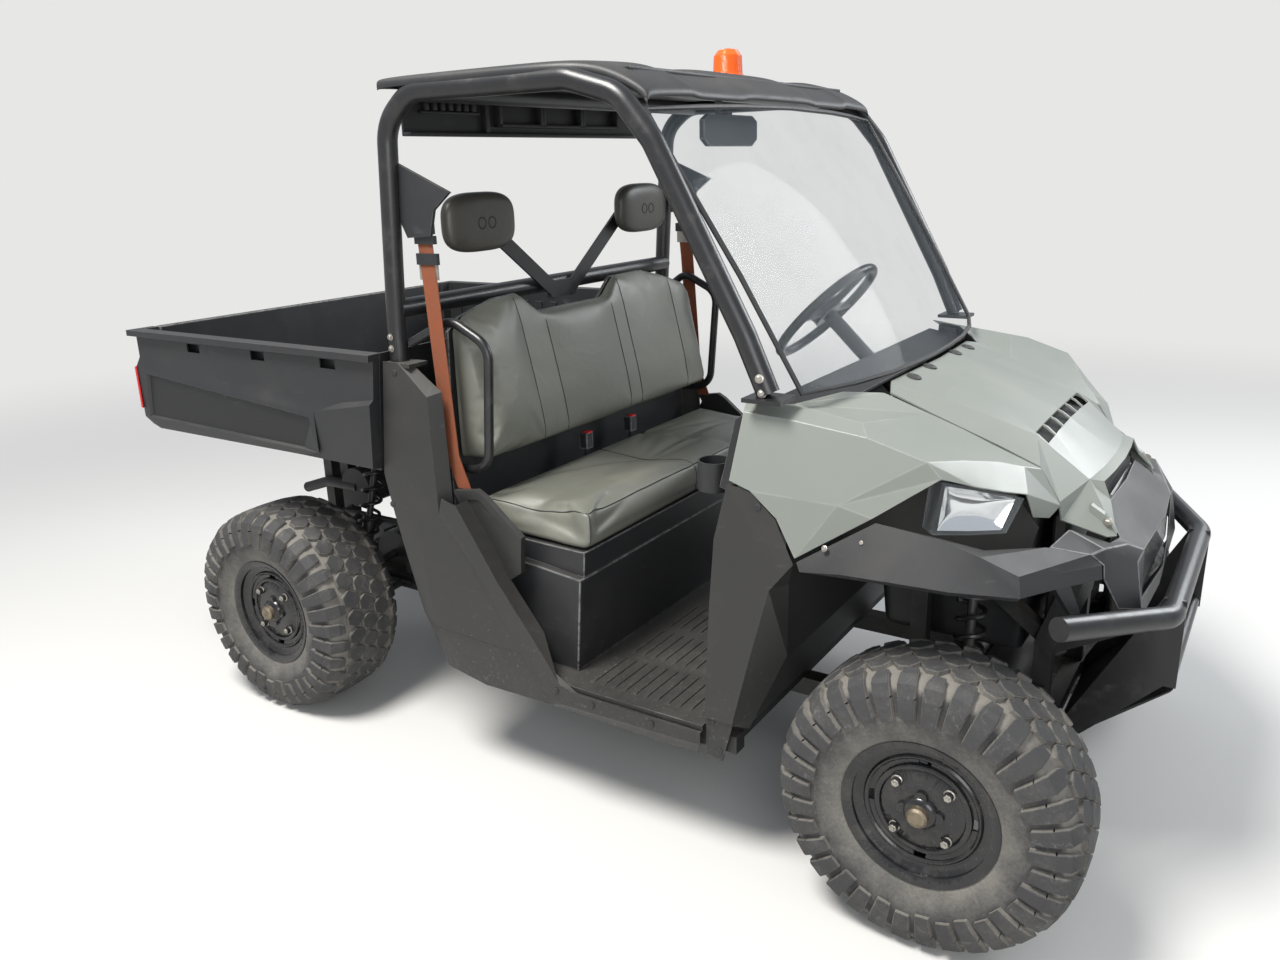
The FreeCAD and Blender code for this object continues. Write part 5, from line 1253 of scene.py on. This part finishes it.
def belt_fittings():
    buttons = bmesh.new()
    for y in BUTTON_SIDES:
        block(buttons, (-0.182, y, 0.8515), (0.018, 0.024, 0.004))
    settle("release_buttons", buttons, RED, "chassis")
    tongues = bmesh.new()
    guides = bmesh.new()
    for side in (-1, 1):
        for low, high, x, thick, shape, wide in (
                (1.366, 1.404, -0.258, 0.003, tongues, 0.064),
                (1.404, 1.432, -0.259, 0.011, guides, 0.070),
                (1.455, 1.4755, -0.262, 0.012, guides, 0.066)):
            block(shape, (x, side * BELT_SIDE, (low + high) / 2), (wide, thick, high - low))
    settle("belt_tongues", tongues, ZINC, "chassis")
    settle("belt_guides", guides, BLACK_PLASTIC, "chassis")


RED = Finish("release_red").wear(Base_Color=(0.5, 0.012, 0.015, 1), Roughness=0.35)
dress("seat_belts", "chassis", "belt_webbing", webbing(), 0)
dress("belt_buckles", "chassis", "black_plastic", BLACK_PLASTIC, 0.004)
belt_fittings()


# Windshield: clear bent polycarbonate in a black rubber edging, given by the middle of
# its right half in mm.
SCREEN_EDGE = [(850, 0, 1157), (846, -130, 1157), (834, -280, 1157), (808, -440, 1159),
               (758, -611, 1163), (618, -620, 1400), (478, -634, 1620), (400, -634, 1742),
               (419, -440, 1751), (431, -280, 1756), (438, 0, 1760)]


def clear_screen():
    screen = Finish("clear_polycarbonate")
    dust = screen.noise(5, 7, 0.7).above(0.4, 0.85)
    return screen.wear(Base_Color=(0.12, 0.15, 0.17, 1), Roughness=0.05,
                       Alpha=0.09 + dust * 0.05, IOR=1.2)


def screen_edging():
    shape = bmesh.new()
    right = [Vector(corner) / 1000 for corner in SCREEN_EDGE]
    left = [Vector((point.x, -point.y, point.z)) for point in reversed(right[1:-1])]
    sweep(shape, right + left + right[:1], 0.0062, 8)
    settle("screen_edging", shape, BLACK_PLASTIC, "chassis")


dress("windshield", "chassis", "clear_screen", clear_screen(), 0)
screen_edging()


# Lamps: clear covers over plated bowls in dark housings; red and amber lenses are ribbed.
# The bowl's corners run from the nose's middle outwards, in mm.
LAMP_FOOT = ((1056, -634, 908), (1112, -570, 897), (1168, -504, 890))
LAMP_HEAD = ((1070, -640, 1022), (1122, -570, 998), (1190, -468, 958))
INWARD = Vector((-0.74, 0.66, 0.06)).normalized()
LAMP_SHELL = 0.001


def lens(name, colour, alpha, ribs=0):
    glass = Finish(name)
    sockets = {"Base_Color": colour, "Roughness": 0.08, "Alpha": alpha, "IOR": 1.49}
    if ribs:
        sockets["Normal"] = glass.bump(glass.bands("Z", ribs), 0.002, 0.5)
    return glass.wear(**sockets)


def along_corners(corners, part):
    """Point at a share of the way along three corners."""
    near, middle, far = [Vector(corner) / 1000 for corner in corners]
    if part <= 0.5:
        return near.lerp(middle, part * 2)
    return middle.lerp(far, part * 2 - 1)


def lamp_bowl(shape, side, trim, depth, rim_depth):
    """A bowl close behind a lamp's cover, trimmed by a share of it all round."""
    rows = []
    for row in range(15):
        up = row / 14
        line = []
        for column in range(21):
            across = column / 20
            place = trim + across * (1 - 2 * trim)
            point = along_corners(LAMP_FOOT, place).lerp(
                along_corners(LAMP_HEAD, place), trim + up * (1 - 2 * trim))
            rise = max(abs(2 * up - 1) ** 2.4, abs(2 * across - 1) ** 3.0)
            point += INWARD * (depth - (depth - rim_depth) * rise)
            line.append(shape.verts.new((point.x, point.y * -side, point.z)))
        rows.append(line)
    skin(shape, rows)


def headlamp_insides():
    """One plated bowl close behind each clear cover, on a black backing."""
    bowls = bmesh.new()
    backs = bmesh.new()
    for side in (-1, 1):
        lamp_bowl(bowls, side, 0.07, 0.024, 0.005)
        lamp_bowl(backs, side, 0.01, 0.034, 0.028)
    for shape in (bowls, backs):
        bmesh.ops.solidify(shape, geom=list(shape.faces), thickness=LAMP_SHELL)
    settle("headlamp_bowls", bowls, MIRROR, "chassis")
    settle("headlamp_backs", backs, BLACK_PLASTIC, "chassis")


MIRROR = Finish("plated_reflector").wear(Base_Color=(0.85, 0.86, 0.87, 1), Metallic=1.0,
                                         Roughness=0.12)
dress("headlights", "chassis", "lamp_lens", lens("lamp_clear", (0.55, 0.6, 0.62, 1), 0.10), 0)
headlamp_insides()
dress("beacon", "chassis", "amber_lens", lens("amber", (0.80, 0.11, 0.008, 1), 0.92, 90), 0)
dress("tail_lights", "bed", "red_lens", lens("tail_red", (0.5, 0.01, 0.01, 1), 0.92, 60),
      0.002)

# Steering wheel: moulded grip on a coated steel column.
dress("steering_wheel", "steering_wheel", "wheel_grip", POWDER, 0)


# Grilles: black expanded mesh.
def mesh_plate():
    plate = Finish("perforated_black")
    holes = plate.bands("Y", 32).maths("MULTIPLY", plate.bands("Z", 32)).above(0.32, 0.4)
    return plate.wear(Base_Color=(0.012, 0.012, 0.013, 1), Roughness=0.5, Alpha=1 - holes)


dress("grille", "chassis", "black_plastic", mesh_plate(), 0)


# Hood slots: a near-black box under the louvres paints the shade in the space behind them.
# Its floor falls forward.
def hood_duct():
    shape = bmesh.new()
    middle = 1.160
    for vert in block(shape, (middle, 0.003, 0.975), (0.05, 0.475, 0.06)):
        vert.co.z += 0.012 if vert.co.x < middle else -0.006
    settle("hood_duct", shape, THREAD_AND_SHADE_BLACK, "hood")


hood_duct()


# Moulded tub under the hood, between the arches, with the radiator core before it.
def nose_tub():
    shape = bmesh.new()
    block(shape, (1.225, 0, 0.68), (0.04, 0.48, 0.36))
    block(shape, (0.985, 0, 0.68), (0.40, 0.46, 0.40), foot=0.86)
    bmesh.ops.bevel(shape, geom=shape.edges[:], offset=0.03, segments=4, profile=0.6,
                    affect="EDGES")
    settle("nose_tub", shape, BLACK_PLASTIC, "chassis")


nose_tub()


# Floor mat: moulded ribs in the footwells, eleven rows of three on each side.
def floor_ribs():
    shape = bmesh.new()
    for side in (-1, 1):
        for row in range(11):
            for column in range(3):
                block(shape, (0.205 + row * 0.032, side * (0.570 - column * 0.190), 0.3605),
                      (0.014, 0.165, 0.003), top=0.8)
    settle("mat_ribs", shape, MUDDY_PLASTIC, "chassis")


floor_ribs()
